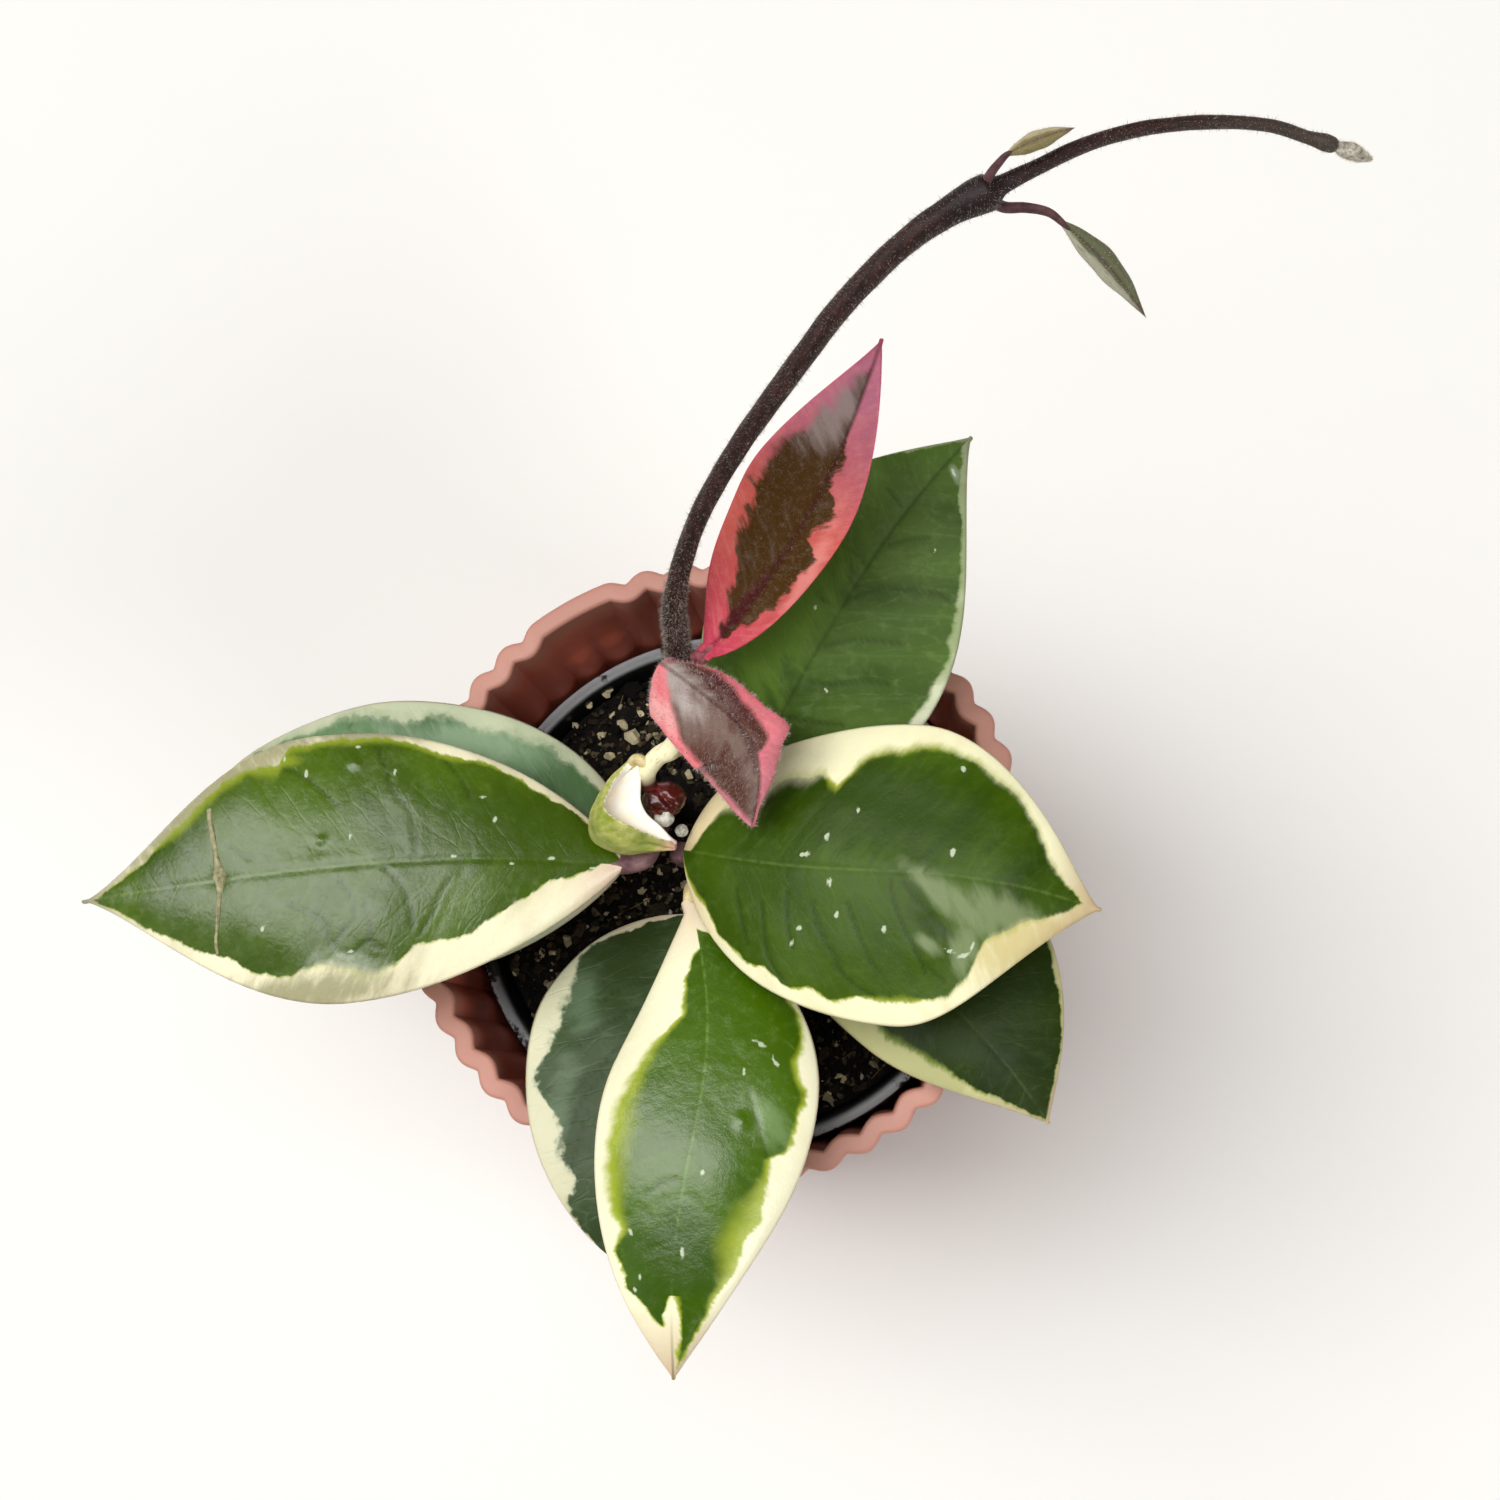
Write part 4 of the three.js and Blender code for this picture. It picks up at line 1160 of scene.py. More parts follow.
@dataclass
class Stems:
    """The hidden main stem, and the shoot with its knot, its pale joint and its long hairy runner."""

    main_foot: Place = (1.6, 0.6, 41.3)
    main_top: Place = (1.2, 0.4, 75.0)
    main_radius: float = 1.8
    shoot_foot: Place = (-8.6, 11.9, 41.3)
    knot: Place = (-4.1, 6.1, 82.0)
    knot_size: Place = (2.35, 1.95, 1.8)
    shoot_radius: float = 1.5
    # Places on the young shoot, and its radius there
    path: tuple[tuple[float, float, float, float], ...] = (
        (-4.5, 6.5, 81.8, 0.8), (-5.6, 7.4, 82.6, 0.9), (-5.8, 8.4, 83.6, 0.95), (-5.4, 9.2, 84.6, 1.0),
        (-4.3, 10.2, 85.3, 1.05), (-2.8, 10.9, 85.9, 1.15), (-1.7, 12.5, 86.4, 1.2),
        (-1.6, 15.5, 86.7, 1.3), (-1.9, 19.6, 87.2, 1.45), (-2.0, 21.9, 89.2, 1.3), (-2.0, 24.3, 92.0, 1.2),
        (-1.1, 27.1, 95.3, 1.1), (0.5, 30.0, 99.3, 1.02), (2.5, 32.8, 103.0, 1.02),
        (6.5, 37.2, 108.4, 1.05), (12.2, 42.8, 114.1, 1.12), (17.3, 47.7, 118.5, 1.15),
        (22.9, 51.8, 122.4, 1.2), (27.0, 53.9, 124.5, 1.35), (29.6, 55.0, 125.3, 1.75),
        (31.0, 55.5, 125.6, 1.8), (32.3, 56.1, 125.7, 0.9), (35.3, 57.7, 125.4, 0.76),
        (39.9, 60.1, 124.6, 0.72), (45.0, 62.1, 123.0, 0.7), (51.0, 63.4, 121.0, 0.68),
        (57.0, 63.75, 119.0, 0.62), (61.0, 63.0, 117.5, 0.64), (62.6, 62.65, 117.0, 0.86),
        (64.0, 62.3, 116.5, 0.72),
    )

    def main_stem(self) -> None:
        """The old stem in the middle, with a swelling where each pair of leaves grows."""
        share = np.array([0, 0.58, 0.66, 0.71, 0.78, 0.85, 0.9, 0.96, 1])
        size = np.array([1, 1, 1.2, 1.05, 1, 1.2, 1, 1.15, 0.8]) * self.main_radius
        foot, top = np.array(self.main_foot), np.array(self.main_top)
        even = np.linspace(0, 1, 20)
        tube = Tube("old_stem", [tuple(foot + (top - foot) * k) for k in even],
                np.interp(even, share, size), along=70, lumps=0.07).build()
        # Old stem: dull brown bark over green
        bark = Skin("stem bark, dry", "#3c3019", "#6f6238", 0.75, 1.5, 0.15).build()
        settle(tube, ["main_stem"], bark)

    def knot_piece(self) -> None:
        """The dark red knot that the young shoot grows from: a wrinkled ball."""
        clear_selection()
        bpy.ops.mesh.primitive_uv_sphere_add(segments=64, ring_count=40, radius=1)
        obj = bpy.context.object
        obj.name = "shoot_knot"
        ball = corners(obj)
        folds = 0.05 * wander(ball[:, 0] * 3, ball[:, 1] * 3 + ball[:, 2] * 2, 2.4, 31)
        seam = -0.13 * np.exp(-((ball[:, 0] * 0.6 + ball[:, 1] * 0.5) / 0.13) ** 2) * (ball[:, 2] > -0.3)
        shape(obj, ball * (1 + folds + seam)[:, None] * np.array(self.knot_size) + np.array(self.knot))
        # Glossy dark red bud scales
        skin = Skin("bud scale, glossy dark red", "#240304", "#5f130f", 0.26, 1.6, 0.06, coat=0.6)
        settle(obj, ["shoot_stem"], skin.build())

    def build(self) -> Piece:
        """Makes the stems, the knot and the hairs.

        Returns:
            The runner.
        """
        self.main_stem()
        even = np.linspace(0, 1, 16)
        foot, knot = np.array(self.shoot_foot), np.array(self.knot)
        size = np.interp(even, [0, 0.3, 0.72, 0.8, 0.88, 1], [1, 0.95, 0.95, 1.1, 0.95, 1]) * self.shoot_radius
        lower = Tube("shoot_foot", [tuple(foot + (knot - foot) * k) for k in even], size, along=90,
                lumps=0.06).build()
        bark = Skin("shoot bark, brown", "#33231a", "#6a5036", 0.7, 1.2, 0.12).build()
        settle(lower, ["shoot_stem"], bark)
        self.knot_piece()
        runner = Tube("runner", [p[:3] for p in self.path], [p[3] for p in self.path], around=28, along=520,
                lumps=0.035).build()
        settle(runner, ["shoot_stem"], ShootSkin().build())
        # A dry papery bud scale and a crumb beside the knot
        paper = Skin("bud scale, dry papery", "#8f8a7c", "#efebe0", 0.8, 0.9, 0.2).build()
        crumbs = (("dry_scale", (-3.9, 4.1, 82.2), 0.85), ("dry_crumb", (-2.3, 2.9, 80.6), 0.55))
        for name, (x, y, z), half in crumbs:
            run = [(x - half, y + half, z), (x, y, z), (x + half, y - half / 2, z)]
            crumb = Tube(name, run, [half * 0.7, half, half * 0.6], around=20, along=24, lumps=0.4, seed=8)
            settle(crumb.build(), ["shoot_stem"], paper)
        # Short down, brown and pale mixed, longer and denser above the leaf joint
        pale = Skin("down, pale", "#6a5a54", "#dccfc6", 0.8, 0.5, 0.0).build()
        first = down("runner_down", runner, 9000, 0.26, 0.035, 41, keep=self.hairy)
        settle(first, ["shoot_stem"], pale, 30)
        brown = Skin("down, dark brown and pale", "#2a211d", "#b9aa9e", 0.8, 0.5, 0.0).build()
        second = down("runner_long_down", runner, 24000, 0.48, 0.06, 42, 0.8, self.very_hairy)
        settle(second, ["shoot_stem"], brown, 30)
        return runner

    @staticmethod
    def hairy(places: Array) -> Array:
        """Share of the hairs that grow at each place: none on the pale joint below the young leaves."""
        return step_between(places[:, 1], 11.0, 15.0)

    @staticmethod
    def very_hairy(places: Array) -> Array:
        """Share of the long hairs at each place: all round the leaf joint, few along the runner."""
        return step_between(places[:, 1], 14.0, 17.0) * (1 - 0.97 * step_between(places[:, 1], 22.0, 29.0))


# Leaves


class Tone(Enum):
    """What a patch on a blade is: a grey layer over the green, darker green, lime or yellower cream. On a few
    leaves some patches are painted light or shade, as said where they are given.
    """

    FROST = "frost"
    DEEP = "deep"
    GLOW = "glow"
    WARM = "warm"


@dataclass
class Leaf:
    """A leaf: midrib from base to tip, the width of each side, its margins, creases, marks and stalk.

    Places on a blade are per cent of the way from base to tip and millimetres to the left of the midrib.
    A patch is an oval: its place, its half length and half width, and its turn in degrees.
    """

    node: str
    base: Place
    tip: Place
    left: tuple[float, float, float, float]
    right: tuple[float, float, float, float]
    finish: WaxLeaf | YoungLeaf
    slot: str = "leaf"
    bow: float = 0.0
    sway: float = 0.0
    arch: float = 0.0
    droop: float = 0.0
    cup: float = 0.0
    fold: float = 0.2
    thick: float = 1.6
    edge_thick: float = 0.7
    trim_left: Pairs = ((0, 0.0), (100, 0.0))
    trim_right: Pairs = ((0, 0.0), (100, 0.0))
    margin_left: Pairs = ((0, 1.0), (100, 1.0))
    margin_right: Pairs = ((0, 1.0), (100, 1.0))
    soft_left: Pairs = ((0, 0.5), (100, 0.5))
    soft_right: Pairs = ((0, 0.5), (100, 0.5))
    lime_left: Pairs = ((0, 0.1), (100, 0.1))
    lime_right: Pairs = ((0, 0.1), (100, 0.1))
    split: tuple[float, float] | None = None
    patches: dict[Tone, Sequence[tuple[float, ...]]] = field(default_factory=dict)
    bumps: Sequence[tuple[float, float, float, float]] = ()
    creases: Sequence[Pairs] = ()
    flecks: Sequence[tuple[float, float, float, float]] = ()
    crease_depth: float = 0.05
    dents: float = 0.3
    crumple: float = 0.03
    curl: float = 2.0
    ripple: float = 0.2
    veins: float = 0.025
    vein_step: float = 5.2
    vein_slant: float = 0.6
    groove: float = 0.12
    stalk: Sequence[Place] = ()
    stalk_radius: float = 1.0
    around: int = 160
    along: int = 190
    seed: int = 1
    end_half: float = 1.1

    @property
    def length(self) -> float:
        """Length of the leaf from base to tip in millimetres."""
        return float(np.linalg.norm(np.array(self.tip) - np.array(self.base)))

    def width(self, side: Array, t: Array) -> Array:
        """Half width of one side along the leaf.

        Args:
            side: Above 0 on the left.
            t: Share of the way from base to tip.

        Returns:
            The half width in millimetres.
        """
        wide = np.zeros_like(t)
        sides = ((self.left, self.trim_left, side >= 0), (self.right, self.trim_right, side < 0))
        for shape_of, trim, here in sides:
            half, widest, base, point = shape_of
            u = np.where(t < widest, (widest - t) / widest, (t - widest) / (1 - widest))
            curve = half * np.clip(1 - u * u, 0, 1) ** np.where(t < widest, base, point)
            wide = np.where(here, curve + np.interp(t * 100, *zip(*trim)), wide)
        least = min(self.end_half, self.left[0] / 2) * (1 - t) + 0.22 * t
        return np.maximum(wide, least)

    def midrib(self, t: Array) -> tuple[Array, Array, Array]:
        """Place of the midrib with its left and top side.

        Args:
            t: Share of the way from base to tip.

        Returns:
            Place, direction to the left and direction of the top face.
        """
        base = np.array(self.base)
        chord = np.array(self.tip) - base
        chord[2] += self.droop
        side = np.array([-chord[1], chord[0], 0.0])
        side /= np.linalg.norm(side)
        up = np.array([0.0, 0.0, 1.0])
        hump, slope, turn = 4 * t * (1 - t), 4 - 8 * t, 2 * np.pi
        aside = hump * self.bow + self.sway * np.sin(turn * t)
        aside_slope = slope * self.bow + self.sway * turn * np.cos(turn * t)
        place = base + np.outer(t, chord) + np.outer(aside, side)
        place += np.outer(hump * self.arch - self.droop * t ** 3, up)
        along = chord + np.outer(aside_slope, side) + np.outer(slope * self.arch - 3 * self.droop * t ** 2, up)
        along /= np.linalg.norm(along, axis=1, keepdims=True)
        left = np.cross(up, along)
        left /= np.linalg.norm(left, axis=1, keepdims=True)
        return place, left, np.cross(along, left)

    def off_creases(self, x: Array, y: Array) -> Array:
        """Distance to the nearest crease in millimetres.

        Args:
            x: Millimetres along.
            y: Millimetres to the left of the midrib.

        Returns:
            The distance at each place.
        """
        best = np.full_like(x, 99.0)
        for crease in self.creases:
            line = smooth_path([(at / 100 * self.length, across) for at, across in crease], 4 * len(crease))
            for (x0, y0), (x1, y1) in zip(line, line[1:]):
                dx, dy = x1 - x0, y1 - y0
                k = np.clip(((x - x0) * dx + (y - y0) * dy) / (dx * dx + dy * dy + 1e-9), 0, 1)
                best = np.minimum(best, np.hypot(x - x0 - k * dx, y - y0 - k * dy))
        return best

    def relief(self, t: Array, s: Array, x: Array, y: Array, face: Array) -> Array:
        """Height of the blade's own relief over its plain form.

        Args:
            t: Share of the way along.
            s: Share of the way across, from -1 to 1.
            x: Millimetres along.
            y: Millimetres to the left of the midrib.
            face: 1 on top, -1 underneath.

        Returns:
            The height in millimetres.
        """
        inner = 1 - step_between(np.abs(s), 0.78, 0.98)
        rib = np.exp(-(y / 0.5) ** 2) * (0.5 + 0.5 * (1 - t)) * self.groove
        phase = ((x - self.vein_slant * np.abs(y) + 0.9 * wander(x, y, 12, self.seed + 9)) / self.vein_step) % 1
        off = np.minimum(phase, 1 - phase) * self.vein_step
        faint = 0.5 + 0.5 * np.clip(wander(x, y, 9, self.seed + 5), -1, 1)
        channel = np.exp(-(off / 0.5) ** 2) * faint
        fine = (0.4 * np.sin(np.pi * phase) - channel) * self.veins * inner * step_between(t, 0.04, 0.2)
        gap = self.off_creases(x, y)
        fold = np.exp(-(gap / 0.24) ** 2) - 0.15 * np.exp(-((gap - 0.6) / 0.3) ** 2)
        dents = self.dents * wander(x, y, 17, self.seed) * (0.35 + 0.65 * s ** 2) * step_between(t, 0, 0.15)
        small = self.crumple * wander(x, y, 5.0, self.seed + 3) * inner
        wave = self.ripple * np.sin(2 * np.pi * (2.6 * t + 0.13 * self.seed) + (s > 0) * 1.7) * np.abs(s) ** 3
        lumps = np.zeros_like(t)
        for at, across, high, wide in self.bumps:
            far = (x - at / 100 * self.length) ** 2 + (y - across) ** 2
            lumps += high * np.exp(-far / wide ** 2)
        ends = step_between(t, 0, 0.03) * (1 - step_between(t, 0.96, 1))
        top = np.where(face > 0, lumps - self.crease_depth * fold * inner, 0.6 * lumps)
        return (dents + wave + small + top + face * (fine - rib)) * ends

    def sag(self, s: Array, wide: Array) -> Array:
        """How far the blade drops towards its edges, partly in a fold along the midrib.

        Args:
            s: Share of the way across.
            wide: Half width there.

        Returns:
            The drop in millimetres.
        """
        half = np.where(s >= 0, self.left[0], self.right[0])
        soft = np.sqrt(s ** 2 + 0.0009) - 0.03
        return self.cup * (self.fold * soft + (1 - self.fold) * np.abs(s) ** self.curl) * wide / half

    def oval(self, x: Array, y: Array, place: float, across: float, long: float, wide: float,
             turn: float = 0.0) -> Array:
        """Squared distance from the middle of an oval, 1 on its outline.

        Args:
            x: Millimetres along.
            y: Millimetres to the left of the midrib.
            place: Per cent of the way to the oval's middle.
            across: Millimetres from the midrib to its middle.
            long: Half its length.
            wide: Half its width.
            turn: Its turn in degrees.

        Returns:
            The squared distance at each place.
        """
        dx, dy, angle = x - place / 100 * self.length, y - across, math.radians(turn)
        far = ((dx * math.cos(angle) + dy * math.sin(angle)) / long) ** 2
        return far + ((dy * math.cos(angle) - dx * math.sin(angle)) / wide) ** 2

    def marks(self, obj: Piece, t: Array, y: Array, wide: Array, under: Array) -> None:
        """Keeps what the finish reads at each vertex.

        Args:
            obj: The blade.
            t: Share of the way along.
            y: Millimetres to the left of the midrib.
            wide: Half width there.
            under: 1 on the underside.
        """
        x = t * self.length
        sides = {"margin": (self.margin_left, self.margin_right), "soft": (self.soft_left, self.soft_right),
                "lime": (self.lime_left, self.lime_right)}
        here = {}
        for name, (left, right) in sides.items():
            here[name] = np.where(y >= 0, np.interp(t * 100, *zip(*left)), np.interp(t * 100, *zip(*right)))
        heart = wide - here["margin"] - np.abs(y)
        if self.split is not None:
            start, gap = self.split[0] / 100, self.split[1]
            heart = np.minimum(heart, np.abs(y) - gap * step_between(t, start, start + 0.05) + (t < start) * 9)
        for tone in Tone:
            value = np.zeros_like(t)
            for patch in self.patches.get(tone, ()):
                value = np.maximum(value, 1 - 0.5 * np.sqrt(self.oval(x, y, *patch)))
            note(obj, tone.value, value)
        spots = np.zeros_like(t)
        for place, across, long, turn in self.flecks:
            far = self.oval(x, y, place, across, long + 0.1, 0.24 + long * 0.1, turn)
            spots = np.maximum(spots, np.exp(-far))
        note(obj, "fleck", spots)
        note(obj, "blade", np.stack([x, y, t], axis=1))
        note(obj, "heart", heart)
        note(obj, "soft", here["soft"])
        note(obj, "lime", here["lime"] + 0.02)
        # The crease mask; the waxed leaves paint shade into it
        note(obj, "crease", np.exp(-(self.off_creases(x, y) / 0.19) ** 2))
        note(obj, "edge", wide - np.abs(y))
        note(obj, "under", under)

    def blade(self) -> Piece:
        """Rolls the blade: a lens in section, with its seam along the right edge.

        Returns:
            The blade, with what its finish reads.
        """
        obj, u, v = rolled(self.node + "_blade", self.around, self.along)
        t = (1 - np.cos(np.pi * v)) / 2
        # The top face takes most of the stations, which crowd to the midrib and the edges
        over = 0.65
        face = np.where(u <= over + 1e-6, Face.TOP.value, Face.UNDER.value)
        q = np.where(face > 0, 2 * u / over - 1, 1 - 2 * (u - over) / (1 - over))
        s = np.clip(q - 0.06 * np.sin(2 * np.pi * q), -1, 1)
        place, left, top = self.midrib(t)
        wide = self.width(s, t)
        ends = closing(t, 0.004, 0.002)
        x, y = t * self.length, s * wide
        plate = self.thick * (1 - s ** 2) + self.edge_thick * s ** 2
        plate *= np.sqrt(np.clip(1 - np.abs(s) ** 14, 0, 1))
        taper = 0.55 + 0.45 * (1 - step_between(t, 0.8, 1))
        rise = self.relief(t, s, x, y, face) - self.sag(s, wide) + face * plate * taper * ends / 2
        shape(obj, place + left * (y * ends)[:, None] + top * rise[:, None])
        self.marks(obj, t, y, wide, (face < 0).astype(float) * (np.abs(s) < 0.995))
        close_up(obj)
        return obj

    def build(self, stalk_finish: Material) -> Piece:
        """Makes the blade and its stalk.

        Args:
            stalk_finish: The stalk's material.

        Returns:
            The blade.
        """
        blade = settle(self.blade(), [self.node], self.finish.build())
        ribs, _, tops = self.midrib(np.array([0.12, 0.03]))
        points = [tuple(ribs[0] - tops[0] * (self.thick / 2)), tuple(ribs[1] - tops[1] * 0.35), *self.stalk]
        count = len(points)
        grown = np.interp(np.arange(count), [0, 1, 2, count - 1], [0.3, 0.8, 1.0, 1.1])
        radii = [self.stalk_radius * k for k in grown]
        stalk = Tube(self.node + "_stalk", points, radii, around=20, along=56, lumps=0.05,
                seed=self.seed).build()
        settle(stalk, [self.node], stalk_finish)
        return blade


@dataclass
class CurledLeaf:
    """The small boat-shaped leaf: a keel, a near edge that curls over it and a far edge."""

    keel: Sequence[Place] = (
        (-6.9, 9.6, 84.3), (-8.9, 8.1, 83.8), (-10.3, 6.3, 83.3), (-11.5, 4.1, 82.9), (-11.2, 1.7, 82.6),
        (-8.6, 0.6, 82.5), (-5.4, 0.7, 82.8), (-2.6, 1.0, 83.3),
    )
    near: Sequence[Place] = (
        (-7.3, 9.8, 84.9), (-8.6, 8.2, 85.6), (-9.5, 6.4, 86.4), (-9.8, 4.8, 87.0), (-8.8, 3.5, 87.0),
        (-6.6, 2.5, 86.4), (-4.5, 1.6, 84.9), (-2.6, 1.1, 83.7),
    )
    far: Sequence[Place] = (
        (-5.9, 9.7, 84.9), (-6.1, 8.8, 84.5), (-6.3, 7.4, 84.2), (-6.3, 5.7, 84.0), (-5.7, 4.3, 84.0),
        (-4.5, 3.2, 84.1), (-3.4, 2.0, 83.9), (-2.5, 1.3, 83.5),
    )
    thick: float = 0.9
    sag: float = 0.4
    bulge: float = 0.9
    around: int = 96
    along: int = 96

    def sheet(self, t: Array, s: Array) -> Array:
        """Middle of the curled sheet.

        Args:
            t: Share of the way along.
            s: Share of the way across: below 0 towards the near edge.

        Returns:
            The places.
        """
        grid = np.linspace(0, 1, 241)
        guides = [smooth_path(guide, len(grid)) for guide in (self.keel, self.near, self.far)]
        keel, near, far = (np.stack([np.interp(t, grid, column) for column in guide.T], axis=1)
                for guide in guides)
        edge = np.where((s >= 0)[:, None], far, near)
        swell = np.sin(np.pi * t)
        outward = keel - far
        outward[:, 2] = 0
        outward /= np.maximum(np.linalg.norm(outward, axis=1, keepdims=True), 1e-6)
        middle = (keel + edge) / 2 + np.where((s < 0)[:, None], outward * (self.bulge * swell)[:, None], 0)
        middle[:, 2] -= np.where(s >= 0, self.sag * swell, 0)
        k = np.abs(s)[:, None]
        return keel * (1 - k) ** 2 + middle * 2 * k * (1 - k) + edge * k ** 2

    def build(self, stalk_finish: Material) -> None:
        """Makes the curled leaf and its stalk.

        Args:
            stalk_finish: The stalk's material.
        """
        obj, u, v = rolled("leaf_curled_blade", self.around, self.along)
        t = (1 - np.cos(np.pi * v)) / 2
        face = np.where(u <= 0.5, Face.TOP.value, Face.UNDER.value)
        q = np.where(u <= 0.5, 4 * u - 1, 3 - 4 * u)
        s = np.clip(np.sin(q * 1.36) / math.sin(1.36), -1, 1)
        step = 0.01
        along = self.sheet(np.minimum(t + step, 1), s * 0) - self.sheet(np.maximum(t - step, 0), s * 0)
        across = self.sheet(t, np.minimum(s + step, 1)) - self.sheet(t, np.maximum(s - step, -1))
        top = np.cross(along, across)
        top /= np.maximum(np.linalg.norm(top, axis=1, keepdims=True), 1e-9)
        plate = self.thick * (1 - 0.35 * s ** 2) * np.sqrt(np.clip(1 - np.abs(s) ** 12, 0, 1))
        ends = closing(t, 0.01, 0.01)
        ripple = 0.08 * wander(t * 14, s * 5, 3.0, 77)
        sheet = self.sheet(t, s)
        middle = self.sheet(t, s * 0)
        rise = ripple * ends + face * plate * ends / 2
        shape(obj, middle + (sheet - middle) * ends[:, None] + top * rise[:, None])
        note(obj, "blade", np.stack([t * 16, s * 4, s], axis=1))
        note(obj, "outer", (face < 0).astype(float))
        note(obj, "point", t)
        close_up(obj)
        settle(obj, ["leaf_curled"], self.finish())
        points = [tuple(self.sheet(np.array([0.06]), np.array([0.0]))[0]), (-6.8, 9.9, 84.8),
                (-5.9, 9.6, 85.0), (-5.0, 9.2, 85.2)]
        stalk = Tube("leaf_curled_stalk", points, [0.5, 0.65, 0.7, 0.75], around=18, along=30).build()
        settle(stalk, ["leaf_curled"], stalk_finish)

    @staticmethod
    def finish() -> Material:
        """White cream inside, yellow green outside with veins, pink at the tip.

        Returns:
            The material.
        """
        material, add = blank("leaf, cream, curled")
        blade = add("Attribute", out="Vector", attribute_name="blade")
        outer = add("Attribute", out="Fac", attribute_name="outer")
        point = add("Attribute", out="Fac", attribute_name="point")
        noise = add("TexNoise", {"Vector": blade, "Scale": 0.7, "Detail": 5.0, "Roughness": 0.6})
        share = add("MapRange", (noise, 0.35, 0.72))
        green = mixed(add, share, "#8d9c2e", "#ddd88c")
        blots = add("TexNoise", {"Vector": blade, "Scale": 0.33, "Detail": 3.0})
        blots = add("MapRange", (blots, 0.46, 0.7, 0.0, 0.6))
        green = mixed(add, blots, green, "#5d7414")
        cream = mixed(add, share, "#fffaf0", "#fff3da")
        colour = mixed(add, outer, cream, green)
        blush = add("MapRange", (point, 0.86, 1.0, 0.0, 0.7))
        colour = mixed(add, blush, colour, "#e2949a")
        surface(add, colour, 0.42, noise, 0.1, IOR=1.45, Subsurface_Weight=0.12, Subsurface_Scale=0.001)
        return material


@dataclass
class BudLeaf:
    """Tiny folded leaf by the runner's end."""

    node: str
    base: Place
    tip: Place
    half: float
    thick: float
    bow: float
    stalk: Sequence[Place]
    stalk_radius: float
    finish: BudBlade
    pale_side: float = 1.0

    def build(self, stalk_finish: Material, hair: Material) -> None:
        """Makes the folded blade, its stalk and its down.

        Args:
            stalk_finish: The stalk's material.
            hair: The material of the down.
        """
        obj, u, v = rolled(self.node + "_blade", 56, 70)
        t = (1 - np.cos(np.pi * v)) / 2
        angle = u * 2 * np.pi
        base, tip = np.array(self.base), np.array(self.tip)
        chord = tip - base
        side = np.array([-chord[1], chord[0], 0.0])
        side /= np.linalg.norm(side)
        up = np.cross(chord / np.linalg.norm(chord), side)
        spindle = np.sin(np.pi * t ** 0.9) ** 1.1 * (1 + 0.05 * np.sin(t * 19 + angle))
        wide = self.half * (spindle + 0.2 * (1 - t))
        wide = wide * closing(t, 0.01, 0.004)
        # A lens folded along its length, with a groove down the top where the two halves meet
        flat = self.thick / 2 * wide / self.half
        dip = 0.45 * flat * np.exp(-(np.cos(angle) / 0.25) ** 2) * (np.sin(angle) > 0)
        place = base + np.outer(t, chord) + np.outer(4 * t * (1 - t) * self.bow, side)
        place = place + np.outer(wide * np.cos(angle), side) + np.outer(flat * np.sin(angle) - dip, up)
        shape(obj, place)
        note(obj, "blade", np.stack([t, np.cos(angle) * self.pale_side, np.sin(angle)], axis=1))
        close_up(obj)
        settle(obj, [self.node], self.finish.build())
        points = [tuple(base + chord * 0.12), tuple(base), *self.stalk]
        radii = np.interp(np.arange(len(points)), [0, 1, 2, len(points) - 1],
                [0.25, 0.6, 0.8, 1.05]) * self.stalk_radius
        stalk = Tube(self.node + "_stalk", points, radii, around=18, along=40).build()
        settle(stalk, [self.node], stalk_finish)
        fluff = down(self.node + "_down", obj, 700, 0.22, 0.03, 51)
        settle(fluff, [self.node], hair, 30)


# The plant's own leaves

GREEN = {
    "left": WaxLeaf("leaf, waxed, mid green", "#395200", "#4c6808", "#83994c", "#98a830", cream="#fdf6d2",
        warm="#a09d76", foot="#e2c4b0", point="#8f8a6c", frost="#9aa58a", rough=0.26, ior=1.5, seed=1.3),
    "left_under": WaxLeaf("leaf, waxed, grey green", "#46663b", "#65875a", "#8fa581", "#9fae88",
        cream="#cbd2b2", warm="#b0bb9a", frost="#93ab8b", ragged=2.4, teeth=0.4, rough=0.45, net=0.1,
        seed=2.1),
    "front": WaxLeaf("leaf, waxed, bright green", "#365500", "#476800", "#86a850", "#b4c23a",
        cream="#fffbd8", warm="#f6eec0", foot="#ead2b6", point="#c9a889", frost="#7e9a60",
        thread=0.7, rough=0.22, ior=1.5, net=0.02, seed=3.7),
    "front_under": WaxLeaf("leaf, waxed, blue green", "#2d3e18", "#3f5230", "#6b7f64", "#8a9f80",
        cream="#dedcbc", warm="#cdcfaf", frost="#64795c", ragged=2.4, teeth=0.4, rough=0.42, ior=1.32,
        net=0.18, seed=4.4),
    "right": WaxLeaf("leaf, waxed, deep green", "#2b4300", "#405c04", "#6a8238", "#a7b33f", cream="#f8f4cc",
        warm="#d6c68a", foot="#dcc69a", point="#b79a74", frost="#87966a", rough=0.36, ior=1.25, seed=5.2),
    "right_under": WaxLeaf("leaf, waxed, dark green", "#1a2b04", "#293a0b", "#4f6236", "#7f9140",
        cream="#b9b884", foot="#e6dfae", frost="#64744b", rough=0.42, ior=1.22, net=0.12, seed=6.6),
    "back": WaxLeaf("leaf, waxed, dull green", "#314810", "#4e6926", "#86a064", "#62842c", cream="#98a67a",
        warm="#d9dcc0", point="#7c8262", rib=0.0, rough=0.5, ior=1.24, net=0.09, seed=7.9),
}

